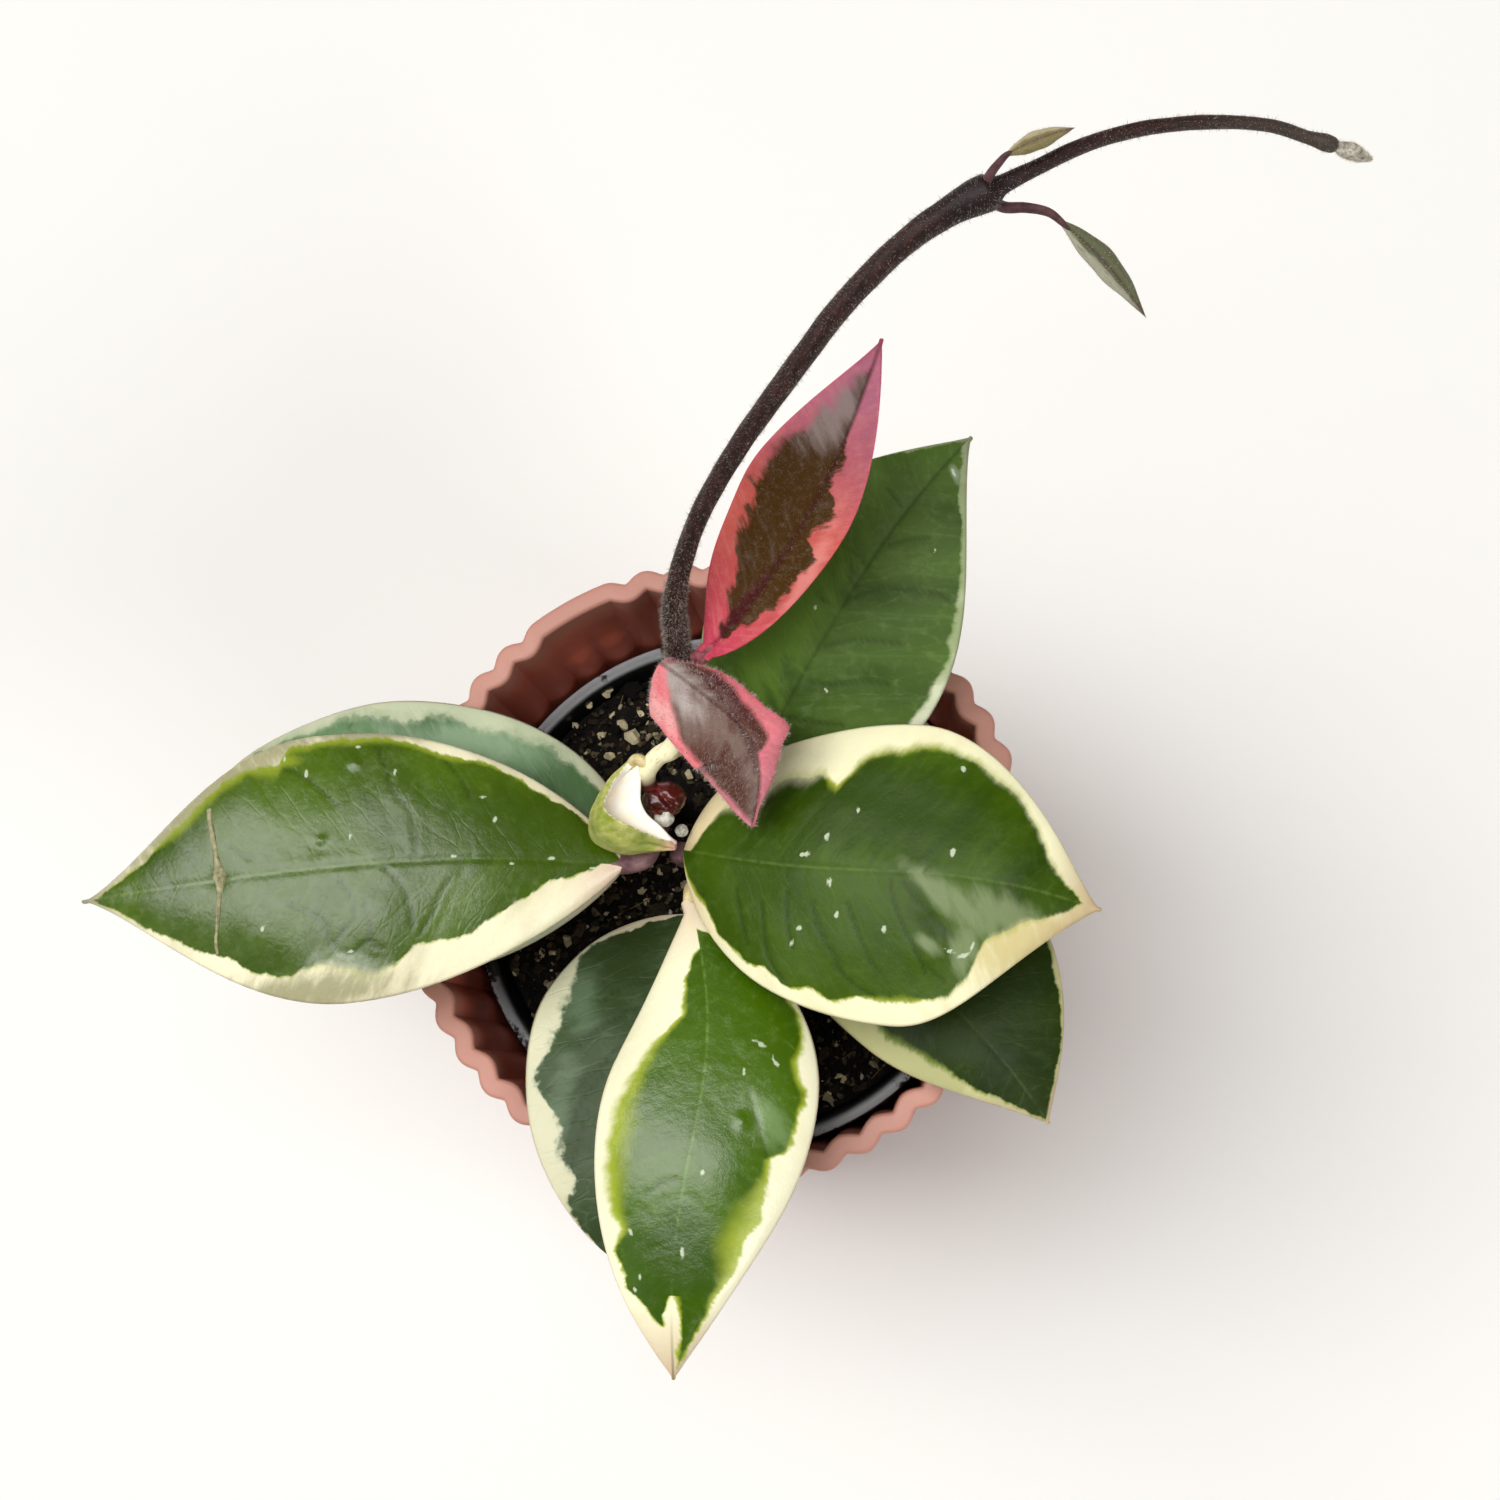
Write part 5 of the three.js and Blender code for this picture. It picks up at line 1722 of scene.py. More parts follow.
WAXED = [
    Leaf("leaf_left", (-8.6, -0.6, 79.1), (-66.8, -4.2, 82), (14.2, 0.51, 0.84, 1.42),
        (14.6, 0.53, 0.76, 1.48), GREEN["left"], bow=-1.2, sway=-0.3, arch=4, droop=3, cup=1.5, fold=0.3,
        margin_left=((0, 2.2), (6, 3.2), (13, 5), (23, 4.4), (27, 3.7), (37, 4.5), (42, 3.2), (45, 2.4),
            (51, 3.8), (56, 3.8), (61, 2.4), (67, 1.7), (71, 2.5), (76, 2), (83, 1.2), (90, 0.7),
            (100, 0.3)),
        margin_right=((0, 0.9), (10, 0.8), (17, 1.2), (23, 0.6), (30, 1.1), (40, 0.6), (51, 0.6), (55, 1.1),
            (58, 0.7), (60.5, 2.3), (66, 1.6), (71, 1.2), (76, 1.5), (83, 1.6), (88, 1.6), (93, 1.2),
            (100, 0.6)),
        soft_left=((0, 0.4), (40, 0.5), (46, 2.2), (55, 1.4), (60, 0.5), (100, 0.4)),
        soft_right=((0, 0.3), (60, 0.4), (80, 0.8), (100, 0.4)),
        lime_right=((0, 0.1), (20, 0.4), (35, 1), (56, 1.1), (61, 2.2), (66, 1), (70, 1.6), (79, 2),
            (85, 0.4), (100, 0)),
        patches={Tone.FROST: ((49, 10.6, 4.4, 1.5, -10),), Tone.DEEP: ((65.5, 9.4, 5.2, 2, 12),
            (17, -3, 15, 5.5)), Tone.WARM: ((58, 12.6, 10, 2.2), (76, -8.8, 16, 3.4, 27),
            (45, -14, 9, 1.2)), Tone.GLOW: ((60, -12, 2.2, 0.8),)},
        bumps=((65.1, -6.9, 0.42, 5), (64.5, 4.4, 0.42, 4.6), (46.7, -11, 0.3, 0.55),
            (53.2, -2.9, 0.3, 0.55), (53.5, -2.4, -0.16, 1), (73, 0, -0.25, 1.3), (44, 6, 0.2, 3),
            (39, -7, 0.2, 4)),
        creases=(((60.9, -11.4), (57.4, -10.7), (55, -9.7), (52.1, -7.9), (50, -6.5)), ((70.1, -3.7),
            (68.2, -2.7), (66.1, -1.8)), ((42.6, -12.7), (41.5, -10.4), (39.8, -7.4), (37.3, -5.1),
            (36.6, -2.9), (36.2, -0.7)), ((31.1, -10.7), (29.5, -9.3), (27.8, -7.6), (27, -6.5)),
            ((30.7, 2.1), (32.5, 3.6), (34.1, 5.7), (36.5, 7.7)), ((59.7, 3.3), (56.2, 4.6), (53.7, 5.8),
            (53, 7.6), (52.3, 8.5)), ((50.3, 1.2), (48.4, 3.5), (48.1, 5.6), (50.7, 7), (52.2, 8)),
            ((46.1, 4.1), (45.5, 6.3), (45.4, 8.4), (43.1, 9)), ((51.4, 8.9), (49.2, 9.2), (45.7, 7.8)),
            ((42.1, 0.6), (39.6, 2.3), (38, 4.5), (37.9, 7.1))),
        flecks=((47.8, -3.1, 0.45, 90), (39.5, -9.7, 0.4, 80), (22.8, -4.2, 0.45, 60),
            (59, -12.3, 0.45, 90), (55.2, -10.4, 0.6, 100), (45.8, -12.8, 0.3, 0), (24.8, -6.6, 0.45, 0),
            (5.9, 0.6, 0.4, 0), (64.8, 5.7, 0.6, 60), (49.4, 9, 0.5, 0), (13, -0.2, 0.4, 0),
            (30, -0.3, 0.3, 0), (20, 0.5, 0.3, 0)),
        stalk=((-7.0, 0.2, 78.4), (-5.9, 2.6, 77.7), (-4.6, 5.9, 77.5)), stalk_radius=1.25, seed=3,
        end_half=0.7, dents=0.15, crumple=0.015, curl=3.0, around=200, along=240),
    Leaf("leaf_left_under", (-8.7, 1.7, 72), (-54.7, 7.8, 76), (16.1, 0.46, 0.73, 1),
        (13.3, 0.48, 0.59, 0.66), GREEN["left_under"], slot="leaf_grey", bow=-0.3, sway=-0.35, arch=2.5,
        droop=1.5, cup=1.5, thick=1.5, margin_left=((0, 2), (30, 2.4), (70, 1.6), (100, 0.4)),
        margin_right=((0, 1.4), (30, 1.6), (50, 1.8), (80, 1.2), (100, 0.5)),
        soft_left=((0, 0.8), (100, 0.8)), soft_right=((0, 1.6), (100, 2.2)),
        patches={Tone.FROST: ((42, -9, 9, 2.6),), Tone.DEEP: ((12, -7, 8, 4), (46, -11.3, 12, 0.8))},
        creases=(((30, -6), (34, -9), (36, -12)), ((50, -6), (53, -9), (55, -12)), ((66, -6), (68, -9),
            (70, -11))), crease_depth=0.02, stalk=((-7.6, 2.6, 71.4), (-6.6, 4.4, 69.8), (-5.6, 7.2, 69.5)),
        stalk_radius=1.1, seed=5, around=120, along=140),
    Leaf("leaf_front", (-2, -3.9, 76), (-3.3, -54, 78), (12, 0.41, 1.2, 1.01), (10.6, 0.47, 1.06, 1.03),
        GREEN["front"], bow=1.9, sway=1.3, arch=3, droop=5, cup=2, fold=0.1, curl=3.2,
        margin_left=((0, 3), (7, 3), (10, 1.6), (20, 0.6), (25, 0.3), (32, 1.1), (34, 2), (39, 1.3),
            (44, 1.8), (50, 2.1), (52, 3.4), (56, 2.8), (65, 1.6), (70, 2.2), (77, 1.3), (83, 1.5), (90, 1),
            (100, 0.6)),
        margin_right=((0, 5), (10, 4.6), (13, 4), (17, 3.8), (22, 5.1), (25, 5.6), (30, 3.9), (38, 2.8),
            (45, 2), (53, 1.6), (62, 1.3), (68, 1.6), (71, 2.7), (75, 1.4), (82, 1), (85, 2.2), (88, 2.4),
            (90, 3.2), (100, 2)),
        soft_left=((0, 0.5), (30, 0.9), (40, 0.5), (60, 0.6), (100, 0.4)),
        soft_right=((0, 0.4), (25, 0.5), (35, 1.1), (50, 1.6), (65, 1.4), (73, 0.5), (100, 0.4)),
        lime_left=((0, 0.3), (30, 0.8), (34, 1.3), (42, 0.5), (52, 0.6), (58, 1.4), (62, 3.4), (66, 4.4),
            (73, 3.4), (80, 1.2), (86, 0.5), (100, 0.4)),
        lime_right=((0, 0.2), (20, 0.5), (30, 1.2), (50, 3.6), (60, 3.4), (70, 1.8), (74, 0.3), (100, 0.2)),
        split=(82, 0.6),
        # The FROST patch is a painted highlight on a raised facet.
        patches={Tone.FROST: ((45.5, 7.6, 2.6, 1.5, 35),), Tone.GLOW: ((50, -8.6, 6, 1.1),),
            Tone.DEEP: ((77, 0, 5, 5),)},
        bumps=((46, 4.7, 0.4, 0.7), (46, 4.7, -0.15, 1.3), (54, -2.5, 0.3, 6), (56, 3.5, 0.22, 4)),
        creases=(((40.4, 4.9), (44.1, 5.8), (48.6, 7), (51.3, 7.8)), ((59.7, -0.9), (61.3, -2.4),
            (63.8, -3.8))),
        flecks=((31.1, 5.5, 1, 70), (34.8, 7.5, 0.4, 60), (36.4, 4.1, 0.5, 0), (33.5, 6.9, 0.3, 0),
            (71.1, -4.8, 0.55, 45), (73.6, 0.8, 0.6, 0), (57.4, 1.7, 0.45, 0), (47.9, 3, 0.4, 90),
            (79.4, -3.4, 0.35, 0), (82, -3.9, 0.3, 0)),
        stalk=((-1.6, -2.9, 75.4), (-0.8, -2.1, 73.1), (0.6, -0.2, 72.7)), stalk_radius=1.2, seed=7,
        ripple=0.3, groove=0.05, dents=0.15, crumple=0.008),
    Leaf("leaf_front_under", (-1.6, -4.9, 67), (-10.9, -41.4, 73), (13.3, 0.42, 0.55, 1),
        (14, 0.39, 0.54, 0.81), GREEN["front_under"], slot="leaf_grey", bow=-0.6, sway=0.2, arch=3.5,
        droop=1.5, cup=1.5, thick=1.4, margin_left=((0, 1.5), (50, 1.6), (100, 0.5)),
        margin_right=((0, 2), (19, 0.8), (26, 2.4), (40, 2.8), (47, 1.7), (60, 1.5), (65, 3.3), (70, 3.6),
            (81, 2.8), (88, 0.9), (100, 0.2)), soft_left=((0, 0.8), (100, 0.8)),
        soft_right=((0, 0.5), (25, 1), (60, 0.8), (85, 0.8), (100, 0.5)),
        patches={Tone.FROST: ((34, -9.5, 4, 1.8, 20), (66, -8.4, 6, 1.6)), Tone.DEEP: ((16, -6, 6, 3.5),)},
        creases=(((22.5, -2.6), (26.8, -5.5), (32.9, -7.6), (39, -9.7)), ((31.3, -3.2), (37.8, -5.8),
            (45.6, -8.2)), ((42.6, -4), (50.9, -5.3), (56.7, -7.4)), ((51.9, -4.6), (60, -5.9),
            (68.7, -6.5)), ((62.3, -5.1), (73.6, -5.3), (83.5, -5.7))),
        bumps=((50, -9.3, 0.25, 1.6), (36, -6.5, 0.25, 1.8)),
        stalk=((-1.1, -3.9, 66), (-0.3, -2.7, 63.5), (0.7, -0.7, 63.2)), stalk_radius=1.1, seed=9,
        around=120, along=150),
    Leaf("leaf_right", (-2, 0.9, 79), (41.3, -6.7, 87), (15.8, 0.54, 0.34, 1.38), (15.6, 0.53, 0.56, 1.25),
        GREEN["right"], bow=0.25, sway=-0.65, arch=4, droop=3, cup=2, fold=0.55, thick=1.7,
        margin_left=((0, 6.5), (3, 6.3), (5, 5.3), (7, 4.7), (11, 5), (16, 6.3), (19, 4.9), (23, 4.2),
            (28, 5), (32, 4.7), (36, 6.4), (38, 5.4), (41, 3.8), (47, 2.8), (55, 2.4), (64, 1.9), (70, 1.8),
            (77, 1.4), (81, 2.1), (86, 3), (90, 2.4), (94, 1.5), (100, 1)),
        margin_right=((0, 1), (5, 1.6), (8, 2.2), (12, 1.2), (20, 1.5), (24, 2.1), (28, 1.2), (34, 2.1),
            (38, 1.4), (44, 2.3), (56, 2.4), (67, 1.7), (72, 2.6), (75, 5.4), (82, 4.8), (88, 3), (93, 2),
            (100, 1.4)),
        soft_left=((0, 0.8), (5, 1.2), (12, 3.6), (30, 3), (33.5, 1.2), (36, 0.6), (40, 1.2), (45, 1.8),
            (60, 1.5), (75, 2), (85, 1.8), (93, 0.5), (100, 0.4)),
        soft_right=((0, 0.4), (60, 0.4), (70, 1.2), (80, 1.8), (90, 0.7), (100, 0.4)),
        lime_left=((0, 0.1), (30, 0.1), (34, 1.6), (38, 0.9), (45, 1.2), (60, 0.9), (70, 0.3), (100, 0.1)),
        lime_right=((0, 0.5), (5, 0.8), (15, 0.3), (45, 0.3), (50, 0.9), (56, 0.9), (62, 0.2), (100, 0.1)),
        # The FROST patches 2 to 3.4 mm right of the midrib are the pale sector; those about 7 mm right of it
        # are a painted highlight on a wrinkle, and the small DEEP patch at 62 % its painted shade; the DEEP
        # patch at 50 % is painted shade over the upper half.
        patches={Tone.FROST: ((62, -2, 5, 0.9, -38), (70, -3.4, 5.5, 1.3, -32), (78.5, -3.4, 4.4, 2, -12),
            (70, -7.4, 1.6, 2.6), (61, -7.2, 2, 0.7, -25)), Tone.WARM: ((84, -5.6, 7, 3.2, 25),),
            Tone.DEEP: ((62, -5.4, 2.4, 0.7, -30), (50, 6.5, 13, 5, -4))},
        bumps=((60, -7.6, 0.3, 2.2), (62, -5.2, -0.2, 1.3), (42, -7, 0.2, 3.5), (30, 7, 0.25, 5)),
        creases=(((21.8, -4.2), (23, -6.8), (24.8, -9.8), (28, -11.6)), ((27.4, -2.9), (28, -5.5),
            (29.8, -8.5)), ((33.5, -3.7), (35.1, -6.2), (38.8, -8.6), (41.3, -10.6), (43.6, -11.6)),
            ((38.9, -9.7), (43.6, -11.6), (48.4, -12.6)), ((41.6, -3.5), (44.3, -6.5), (46.9, -8.9),
            (49.4, -10.4)), ((51.1, -0.8), (52, -2.7), (54.8, -5.7), (58.5, -8.1), (60.6, -10.1)),
            ((54.1, -1.1), (58, -3), (63.2, -4.9), (67.4, -6.4)), ((57.7, -8.1), (61.8, -9.5),
            (66.2, -10.8)), ((15.3, -3.1), (17.6, -6.1), (19.5, -8.5))),
        flecks=((35.6, 3.2, 0.75, 90), (64.7, 2.3, 0.75, 80), (37, -1.5, 0.6, 90), (50.3, -5.9, 0.6, 90),
            (29.5, -8, 0.65, 70), (31, -6.4, 0.35, 90), (39.2, -4.6, 0.45, 90), (31.5, 1.3, 0.4, 80),
            (42, 6.2, 0.4, 100), (64.7, 11.2, 0.5, 100), (30, 1.2, 0.3, 0), (66.5, -7.6, 1, -10),
            (70, -7.9, 0.9, 20), (72, -6.9, 0.8, 70)),
        stalk=((-2.8, 0.9, 77.8), (-2.3, 0.8, 75.2), (-0.4, 0.5, 74.4)), stalk_radius=1.2, seed=12,
        dents=0.22, crease_depth=0.035, around=190, along=220),
    Leaf("leaf_right_under", (2.6, -1.9, 68), (35.8, -27.9, 76), (14.3, 0.52, 0.55, 1.13),
        (9.3, 0.53, 0.64, 1.09), GREEN["right_under"], bow=3.9, arch=3, droop=1, cup=1.5, thick=1.5,
        margin_left=((0, 1), (50, 0.8), (80, 0.5), (100, 0.2)),
        margin_right=((0, 2), (30, 3), (49, 2.6), (56, 2.1), (67, 2.4), (73, 1.8), (80, 1.5), (90, 0.7),
            (100, 0)), soft_right=((0, 0.8), (100, 0.6)),
        lime_right=((0, 0.8), (60, 1), (80, 0.3), (100, 0.1)),
        creases=(((60, -0.8), (64, -3), (70, -5)), ((74, 0.8), (78, 3), (83, 5)), ((50, 0.8), (54, 4),
            (60, 8))), stalk=((2.3, -2.7, 67), (2, -2.8, 65.6), (1.6, -1.0, 65.2)), stalk_radius=1.1,
        seed=14, around=120, along=140),
    Leaf("leaf_back", (3.9, 8.5, 75), (28.9, 43.7, 86), (12.8, 0.4, 0.67, 1.11), (14, 0.39, 0.52, 1.24),
        GREEN["back"], bow=1.2, sway=-0.2, arch=3, cup=-1, fold=0.5,
        margin_left=((0, 1), (40, 0.6), (80, 0.3), (100, 0)),
        margin_right=((0, 1.4), (20, 1.5), (50, 0.9), (75, 0.6), (87, 0.9), (100, 0.6)),
        soft_right=((0, 0.8), (100, 0.5)),
        # The GLOW patch is painted light on the brighter left half.
        patches={Tone.GLOW: ((38, 4.6, 12, 4),), Tone.FROST: ((90, -1.6, 1, 0.4, 60),),
            Tone.WARM: ((30, -12.5, 8, 2, -8),)},
        creases=(((52, -0.6), (55.8, -1.9), (59.7, -4.5), (63.1, -7.2), (64.3, -9.6)), ((38.4, -0.6),
            (42.9, -2.7), (46.4, -5.4), (48.9, -7.9)), ((66.9, -0.6), (70.7, -2.1), (74.1, -3.8)),
            ((29.4, -0.8), (31.8, -3.4), (35.6, -5.5), (38.5, -8.4)), ((60, 0.5), (60.7, 2.3), (60.5, 4.5)),
            ((75.9, 0.6), (77.3, 3)), ((47.5, 0.6), (47.7, 3.1)), ((20, -0.8), (22, -3.4), (25, -6.5)),
            ((5, 0), (30, 0), (60, 0), (96, 0))), crease_depth=0.045, groove=0.05,
        flecks=((90, -1.3, 0.6, 60), (72, -5, 0.25, 0), (30, -3, 0.3, 60), (45, 2.4, 0.3, 0)),
        stalk=((3.3, 7, 74), (2.2, 4.4, 70.5), (1.6, 1.6, 69.8)), stalk_radius=1.2, seed=16, dents=0.25),
]

PINK = [
    Leaf("leaf_pink_tall", (0.6, 20.4, 87.4), (20.3, 48.2, 106), (7.4, 0.52, 0.87, 1.15),
        (4.8, 0.53, 0.6, 1.23), YoungLeaf("leaf, young, olive and pink", ragged=1.2, teeth=1.1, seed=1.0),
        slot="leaf_pink", bow=-2, arch=-2, cup=-2.5, thick=1.1, edge_thick=0.6,
        margin_left=((0, 3), (8, 2.6), (24, 2.8), (29, 2.2), (37, 2), (44, 2), (51, 1.2), (57, 1.1),
            (67, 0.9), (71, 1.6), (76, 2.2), (82, 1.8), (88, 1.2), (93, 1.8), (100, 2)),
        margin_right=((0, 3), (10, 2), (17, 1.8), (27, 1.3), (33, 1.6), (40, 1.3), (44, 1.6), (45.5, 3),
            (51, 3), (56, 2.1), (58.5, 2.4), (60, 3.9), (67, 3.1), (71, 3.4), (77, 4.6), (88, 3.6),
            (100, 2)), soft_left=((0, 0.8), (50, 0.8), (70, 1.8), (100, 1.6)),
        soft_right=((0, 0.6), (60, 0.6), (100, 0.8)),
        patches={Tone.FROST: ((80, 2.2, 5.2, 2.4, -12),), Tone.DEEP: ((20, 0.2, 5, 0.8),),
            Tone.GLOW: ((36, -3.8, 7, 1, 8),)}, crease_depth=0.1,
        stalk=((0.2, 20.2, 87.3), (-0.5, 20.2, 87.4), (-1.3, 20.2, 87.5)), stalk_radius=0.9, seed=18,
        ripple=0.4, veins=0.04, vein_step=3.2, vein_slant=0.9, groove=0.3, along=140, around=120,
        end_half=1.0, lime_left=((0, 0.4), (100, 0.4)), lime_right=((0, 0.4), (100, 0.4))),
    Leaf("leaf_pink_small", (-3.4, 18.8, 91), (5.8, 2.2, 88), (4, 0.54, 0.75, 1.7), (6.5, 0.7, 0.3, 0.64),
        YoungLeaf("leaf, young, mauve and pink", "#4a2e1e", "#7b6c62", "#ea7d86", "#f07a86", "#de7f8f",
                "#f6b4b2", "#3f141b", ragged=0.6, teeth=0.3, seed=2.0),
        slot="leaf_pink", bow=3.8, sway=-0.9, arch=3.5, cup=1.5, thick=1.0, edge_thick=0.6,
        margin_left=((0, 0.2), (8, 0), (20, 0.1), (28, 0.4), (44, 1.2), (55, 1.4), (65, 2.5), (72, 2.9),
            (80, 2.4), (90, 1.6), (100, 1.4)),
        margin_right=((0, 4.4), (8, 4), (16, 3.1), (24, 2), (37, 0.9), (48, 0.6), (66, 0.8), (80, 0.9),
            (90, 1.2), (100, 1.4)), soft_left=((0, 1), (70, 0.9), (90, 2), (100, 2)),
        soft_right=((0, 1.4), (50, 0.8), (80, 1), (100, 2)),
        # The WARM patches are a painted silvery highlight by the base; the broad FROST patch at 30 % is partly
        # the grey of the down and partly a painted highlight.
        patches={Tone.FROST: ((30, -1.8, 7, 2.6, -6), (56, -1.6, 4, 0.9), (80, -0.3, 3.4, 1.2)),
            Tone.DEEP: ((36, 1.8, 4.2, 0.9, -10),), Tone.GLOW: ((16, -4, 4, 1.4),),
            Tone.WARM: ((12, -0.5, 3.4, 1.6), (24, -1.7, 2.6, 1.1, -8))},
        creases=(((17.5, 1.7), (29.2, 1.4), (44.6, 0.5), (63.1, -0.3), (78.4, -0.4)),),
        bumps=((30, -2.2, 0.5, 2.6), (66, 3.4, 0.3, 1.2)), crease_depth=0.22,
        trim_left=((0, 0), (26, 0), (37, -0.3), (46, -0.65), (55, -0.7), (61, 0.05), (65, 0.6), (67, 0.45),
            (70, -0.4), (76, -0.7), (82, -0.5), (90, -0.3), (100, 0)),
        trim_right=((0, 1), (1, -0.1), (2.5, 0.3), (5, 0.46), (10, 0.55), (15, 0.2), (20, 0), (50, 0),
            (60, -0.15), (70, 0), (75, 0.3), (80, 0.45), (85, 0.65), (89, 0.8), (93, 0.4), (100, 0)),
        stalk=((-3.0, 18.9, 90.0), (-2.7, 19.2, 89.3), (-2.3, 19.6, 88.4)), stalk_radius=0.6, seed=20,
        dents=0.2, ripple=0.15, veins=0.03, vein_step=2.6, vein_slant=0.9, groove=0.1, along=110,
        around=100, end_half=0.9, lime_left=((0, 0.4), (100, 0.4)), lime_right=((0, 0.4), (100, 0.4))),
]


@dataclass
class Foliage:
    """All the leaves, with the scar on the left one and the down on the young ones."""

    scar: Sequence[tuple[float, float]] = (
        (73.4, -7.9), (73.2, -6.4), (72.7, -4.2), (72.3, -2.3), (72.1, -0.9), (72, 0.1), (72.2, 1.1),
        (72.6, 2.6), (73.2, 4.4), (73.9, 6.4), (74, 7.7),
    )

    def add_scar(self, leaf: Leaf) -> None:
        """Lays the corky scar over the blade, with its knob by the midrib.

        Args:
            leaf: The leaf that carries it.
        """
        at, y = np.array(self.scar).T
        t = at / 100
        place, left, top = leaf.midrib(t)
        wide = leaf.width(y, t)
        s = y / wide
        plate = (leaf.thick * (1 - s ** 2) + leaf.edge_thick * s ** 2) / 2
        rise = leaf.relief(t, s, t * leaf.length, y, np.ones_like(t)) - leaf.sag(s, wide) + plate
        points = place + left * y[:, None] + top * (rise - 0.06)[:, None]
        cork = Skin("scar, dry cork", "#7f7a56", "#c2bc95", 0.85, 0.8, 0.12).build()
        radii = [0.38, 0.28, 0.3, 0.24, 0.5, 0.85, 0.5, 0.26, 0.3, 0.22, 0.2, 0.14]
        line = Tube("leaf_left_scar", [tuple(p) for p in points], radii, around=12, along=140, lumps=0.3,
                seed=6).build()
        settle(line, [leaf.node], cork)

    def build(self) -> None:
        """Makes every leaf."""
        # Leaf stalks: purple brown over green, slightly glossy
        purple = Skin("stalk, purple", "#5b3540", "#8d6a6c", 0.45, 1.6, 0.08, coat=0.15).build()
        olive = Skin("stalk, olive", "#4c4a22", "#7d7740", 0.5, 1.6, 0.08, coat=0.15).build()
        hairy = Skin("stalk, mauve pink", "#6a2c36", "#b0626a", 0.65, 1.0, 0.08, sheen=0.2).build()
        creamy = Skin("stalk, cream", "#b59a63", "#efe3ab", 0.5, 1.4, 0.08).build()
        stalks = {"leaf_left": purple, "leaf_right": purple, "leaf_front": creamy}
        hair = Skin("down, rosy grey", "#967a70", "#f2ded9", 0.8, 0.6, 0.0).build()
        for leaf in WAXED:
            leaf.build(stalks.get(leaf.node, olive))
            log.info("%s: blade %.1f mm long", leaf.node, leaf.length)
        self.add_scar(WAXED[0])
        for leaf, count, long in zip(PINK, (3500, 9000), (0.16, 0.42)):
            blade = leaf.build(hairy)
            settle(down(leaf.node + "_down", blade, count, long, 0.035, 60 + leaf.seed), [leaf.node],
                    hair, 30)
        CurledLeaf().build(creamy)
        maroon = Skin("bud stalk, maroon", "#3a1c1f", "#5f3a3c", 0.6, 1.0, 0.06, sheen=0.2).build()
        pale = Skin("down, bud", "#b9ad96", "#e6dcc8", 0.8, 3.0, 0.0).build()
        BudLeaf("bud_leaf_upper", (32.7, 57.7, 128.9), (38.9, 59.6, 130), 0.85, 0.9, 0.2,
                ((32.0, 57.2, 128.3), (31.3, 56.6, 127.5), (30.7, 55.9, 126.4)), 0.48,
                BudBlade("bud leaf, olive cream", "#7a7044", "#b5a987")).build(maroon, pale)
        BudLeaf("bud_leaf_lower", (37.7, 53.5, 122.5), (45.6, 45.8, 117), 1.15, 1.0, 0.5,
                ((36.4, 54.4, 122.9), (34.4, 54.8, 123.1), (32.6, 54.8, 123.3), (31.4, 55.0, 124.2)), 0.55,
                BudBlade("bud leaf, grey olive", "#5c6142", "#a3a08c"), -1.0).build(maroon, pale)
        self.tip_bud(pale)

    @staticmethod
    def tip_bud(hair: Material) -> None:
        """The pale resting bud on the runner's end: two folded scales.

        Args:
            hair: The material of its down.
        """
        skin = Skin("bud, whitish grey", "#6a665b", "#d3cdbf", 0.65, 0.4, 0.1).build()
        for name, shift, half in (("bud_scale_one", 0.22, 0.68), ("bud_scale_two", -0.26, 0.58)):
            start, end = np.array([63.4, 62.45, 116.65]), np.array([67.3, 61.4, 115.35])
            obj, u, v = rolled(name, 36, 44)
            t = (1 - np.cos(np.pi * v)) / 2
            angle = u * 2 * np.pi
            chord = end - start
            side = np.array([-chord[1], chord[0], 0.0]) / np.linalg.norm(chord[:2])
            up = np.cross(chord / np.linalg.norm(chord), side)
            wide = half * np.sin(np.pi * np.clip(t * 0.94 + 0.03, 0, 1)) ** 0.7
            wide = wide * (1 + 0.08 * wander(t * 6, angle, 2.0, 5))
            wide = wide * closing(t, 0.02, 0.02)
            place = start + np.outer(t, chord) + np.outer(shift * np.sin(np.pi * t ** 0.7), side)
            shape(obj, place + np.outer(wide * np.cos(angle), side) + np.outer(wide * 0.8 * np.sin(angle), up))
            close_up(obj)
            settle(obj, ["shoot_stem"], skin)
            settle(down(name + "_down", obj, 500, 0.25, 0.05, 71), ["shoot_stem"], hair, 30)


# Floor, light and camera


@dataclass(frozen=True)
class Softbox:
    """A soft light: where it stands, its two sizes and power, and the point it faces."""

    name: str
    place: Place
    size: tuple[float, float]
    power: float
    colour: tuple[float, float, float] = (1.0, 1.0, 1.0)
    aim: Place = (0.0, 0.0, 0.07)

    def build(self) -> None:
        """Adds the light."""
        light = bpy.data.lights.new(self.name, "AREA")
        light.shape = "RECTANGLE"
        light.size, light.size_y = self.size
        light.energy, light.color = self.power, self.colour
        lamp = bpy.data.objects.new(self.name, light)
        lamp.location = self.place
        lamp.rotation_euler = (Vector(self.aim) - Vector(self.place)).to_track_quat("-Z", "Y").to_euler()
        bpy.context.scene.collection.objects.link(lamp)


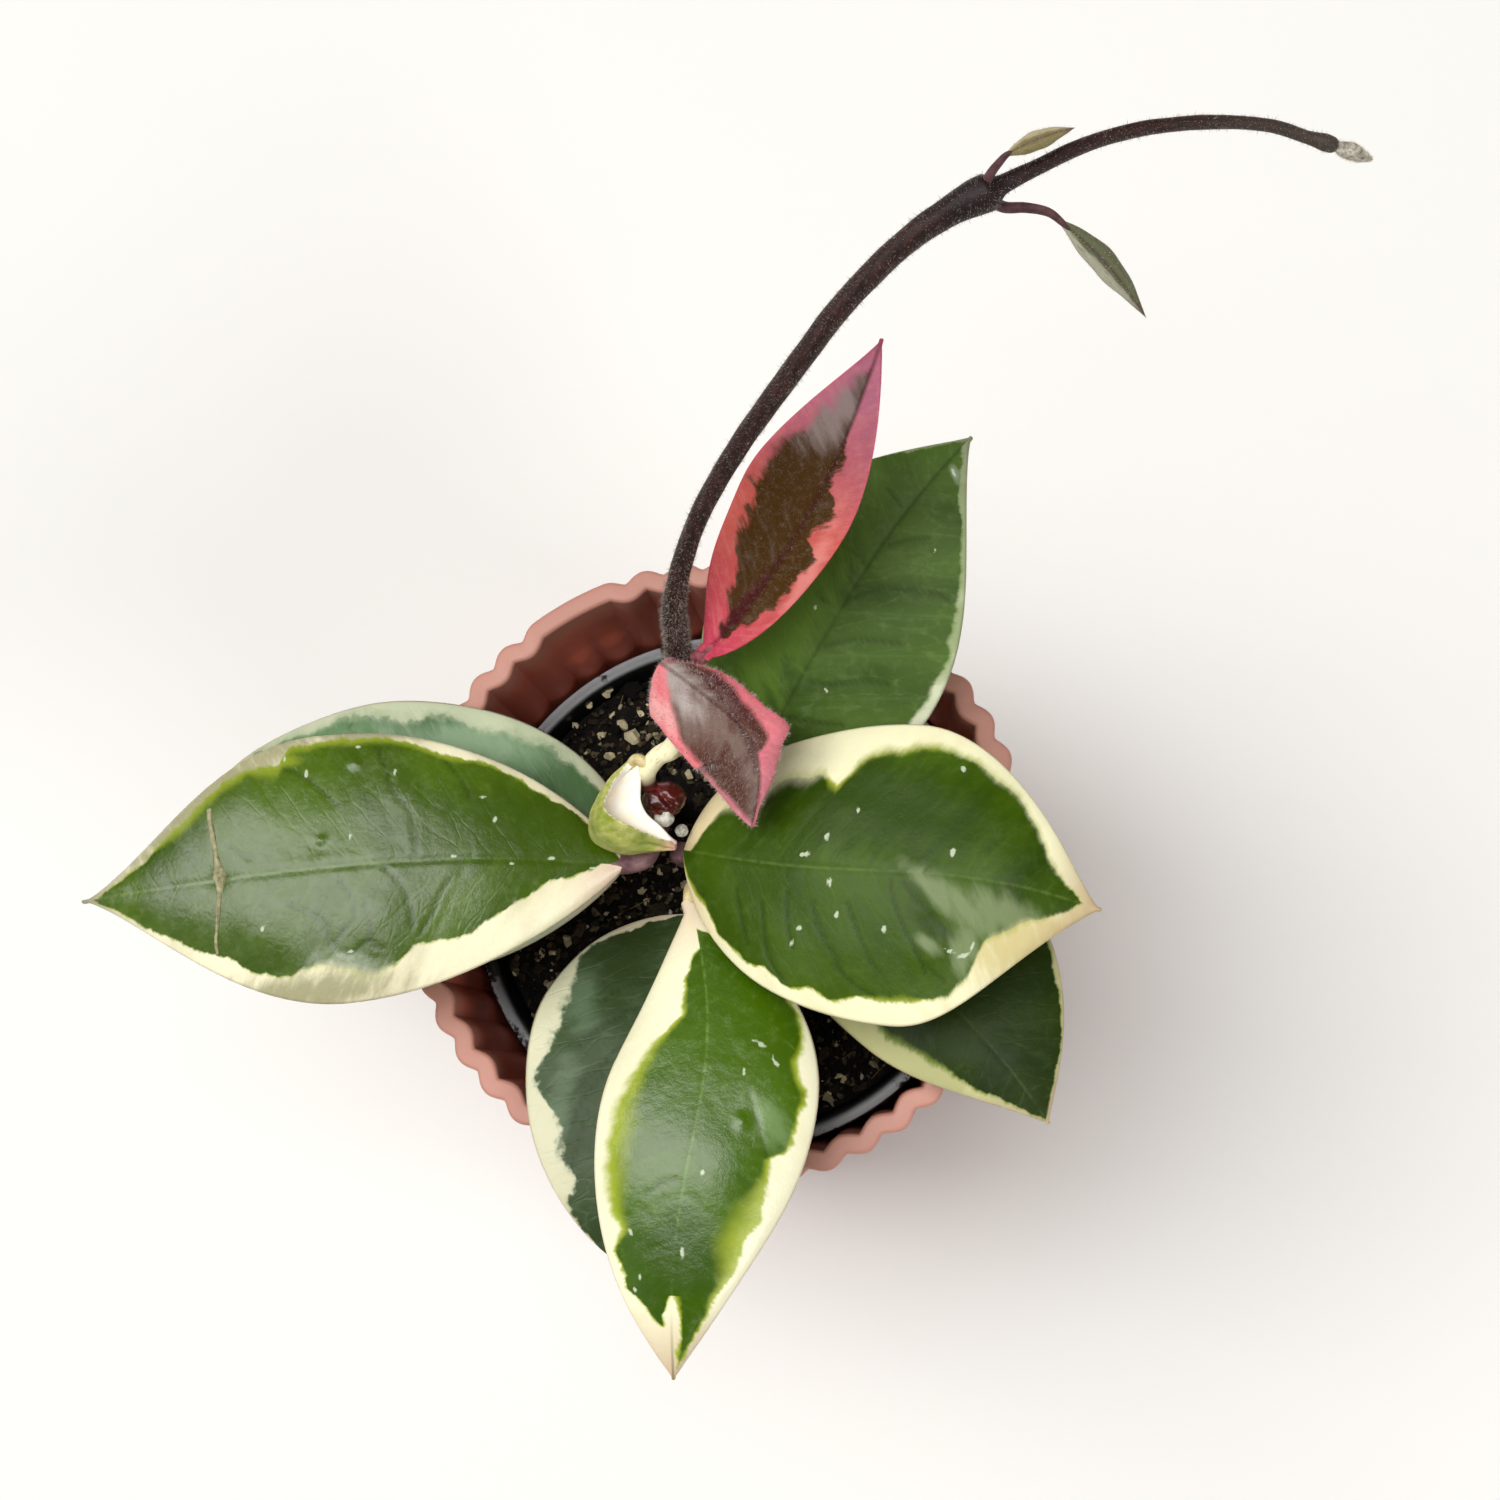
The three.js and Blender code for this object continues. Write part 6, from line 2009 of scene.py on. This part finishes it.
@dataclass
class Studio:
    """Pale floor, a wide window light high on the left, two fills, and the camera over the pot."""

    target: Place = (3.9, 13.3, 70.0)
    back: Place = (0.0913, -0.1716, 1.0)
    distance: float = 300.0
    focal_share: float = 2720 / 1500
    sensor: float = 36.0
    floor_size: float = 6.0
    fill: float = 0.11
    softboxes: tuple[Softbox, ...] = (
        Softbox("window", (-0.6, 0.15, 1.9), (1.0, 2.1), 42.0, (1.0, 0.99, 0.96)),
        Softbox("left_fill", (-1.5, -1.1, 1.3), (1.2, 1.2), 2.0, (0.97, 0.985, 1.0)),
        Softbox("right_fill", (1.3, -1.1, 1.5), (0.9, 0.9), 13.0, (1.0, 0.985, 0.96)),
    )

    def build(self) -> None:
        """Sets up the stage."""
        clear_selection()
        bpy.ops.mesh.primitive_plane_add(size=self.floor_size, location=(0, 0, -0.0002))
        floor = bpy.context.object
        floor.name = "floor"
        material, add = blank("paper, matt white")
        surface(add, "#f4f3f1", 0.9)
        floor.data.materials.append(material)
        world = bpy.data.worlds.new("soft fill")
        bpy.context.scene.world = world
        world.use_nodes = True
        world.node_tree.nodes["Background"].inputs[0].default_value = (0.95, 0.97, 1.0, 1.0)
        world.node_tree.nodes["Background"].inputs[1].default_value = self.fill
        for softbox in self.softboxes:
            softbox.build()
        self.camera()

    def camera(self) -> None:
        """Places the camera over the pot, with +Y up in the picture."""
        back = Vector(self.back).normalized()
        up = Vector((0, 1, 0)) - back * back.y
        up.normalize()
        right = up.cross(back)
        lens = bpy.data.cameras.new("camera")
        lens.sensor_width = self.sensor
        lens.lens = self.sensor * self.focal_share
        lens.clip_start = 0.01
        eye = bpy.data.objects.new("camera", lens)
        turn = Matrix((right, up, back)).transposed().to_4x4()
        eye.matrix_world = Matrix.Translation((Vector(self.target) + back * self.distance) * MM) @ turn
        bpy.context.scene.collection.objects.link(eye)
        bpy.context.scene.camera = eye
        bpy.context.scene.view_settings.view_transform = "Standard"


def main() -> None:
    """Builds the plant piece by piece, then the stage."""
    logging.basicConfig(level=logging.INFO, format="%(message)s")
    clear_selection()
    CoverPot().build()
    GrowPot().build()
    PottingMix().build()
    Stems().build()
    Foliage().build()
    Studio().build()


if __name__ == "__main__":
    main()
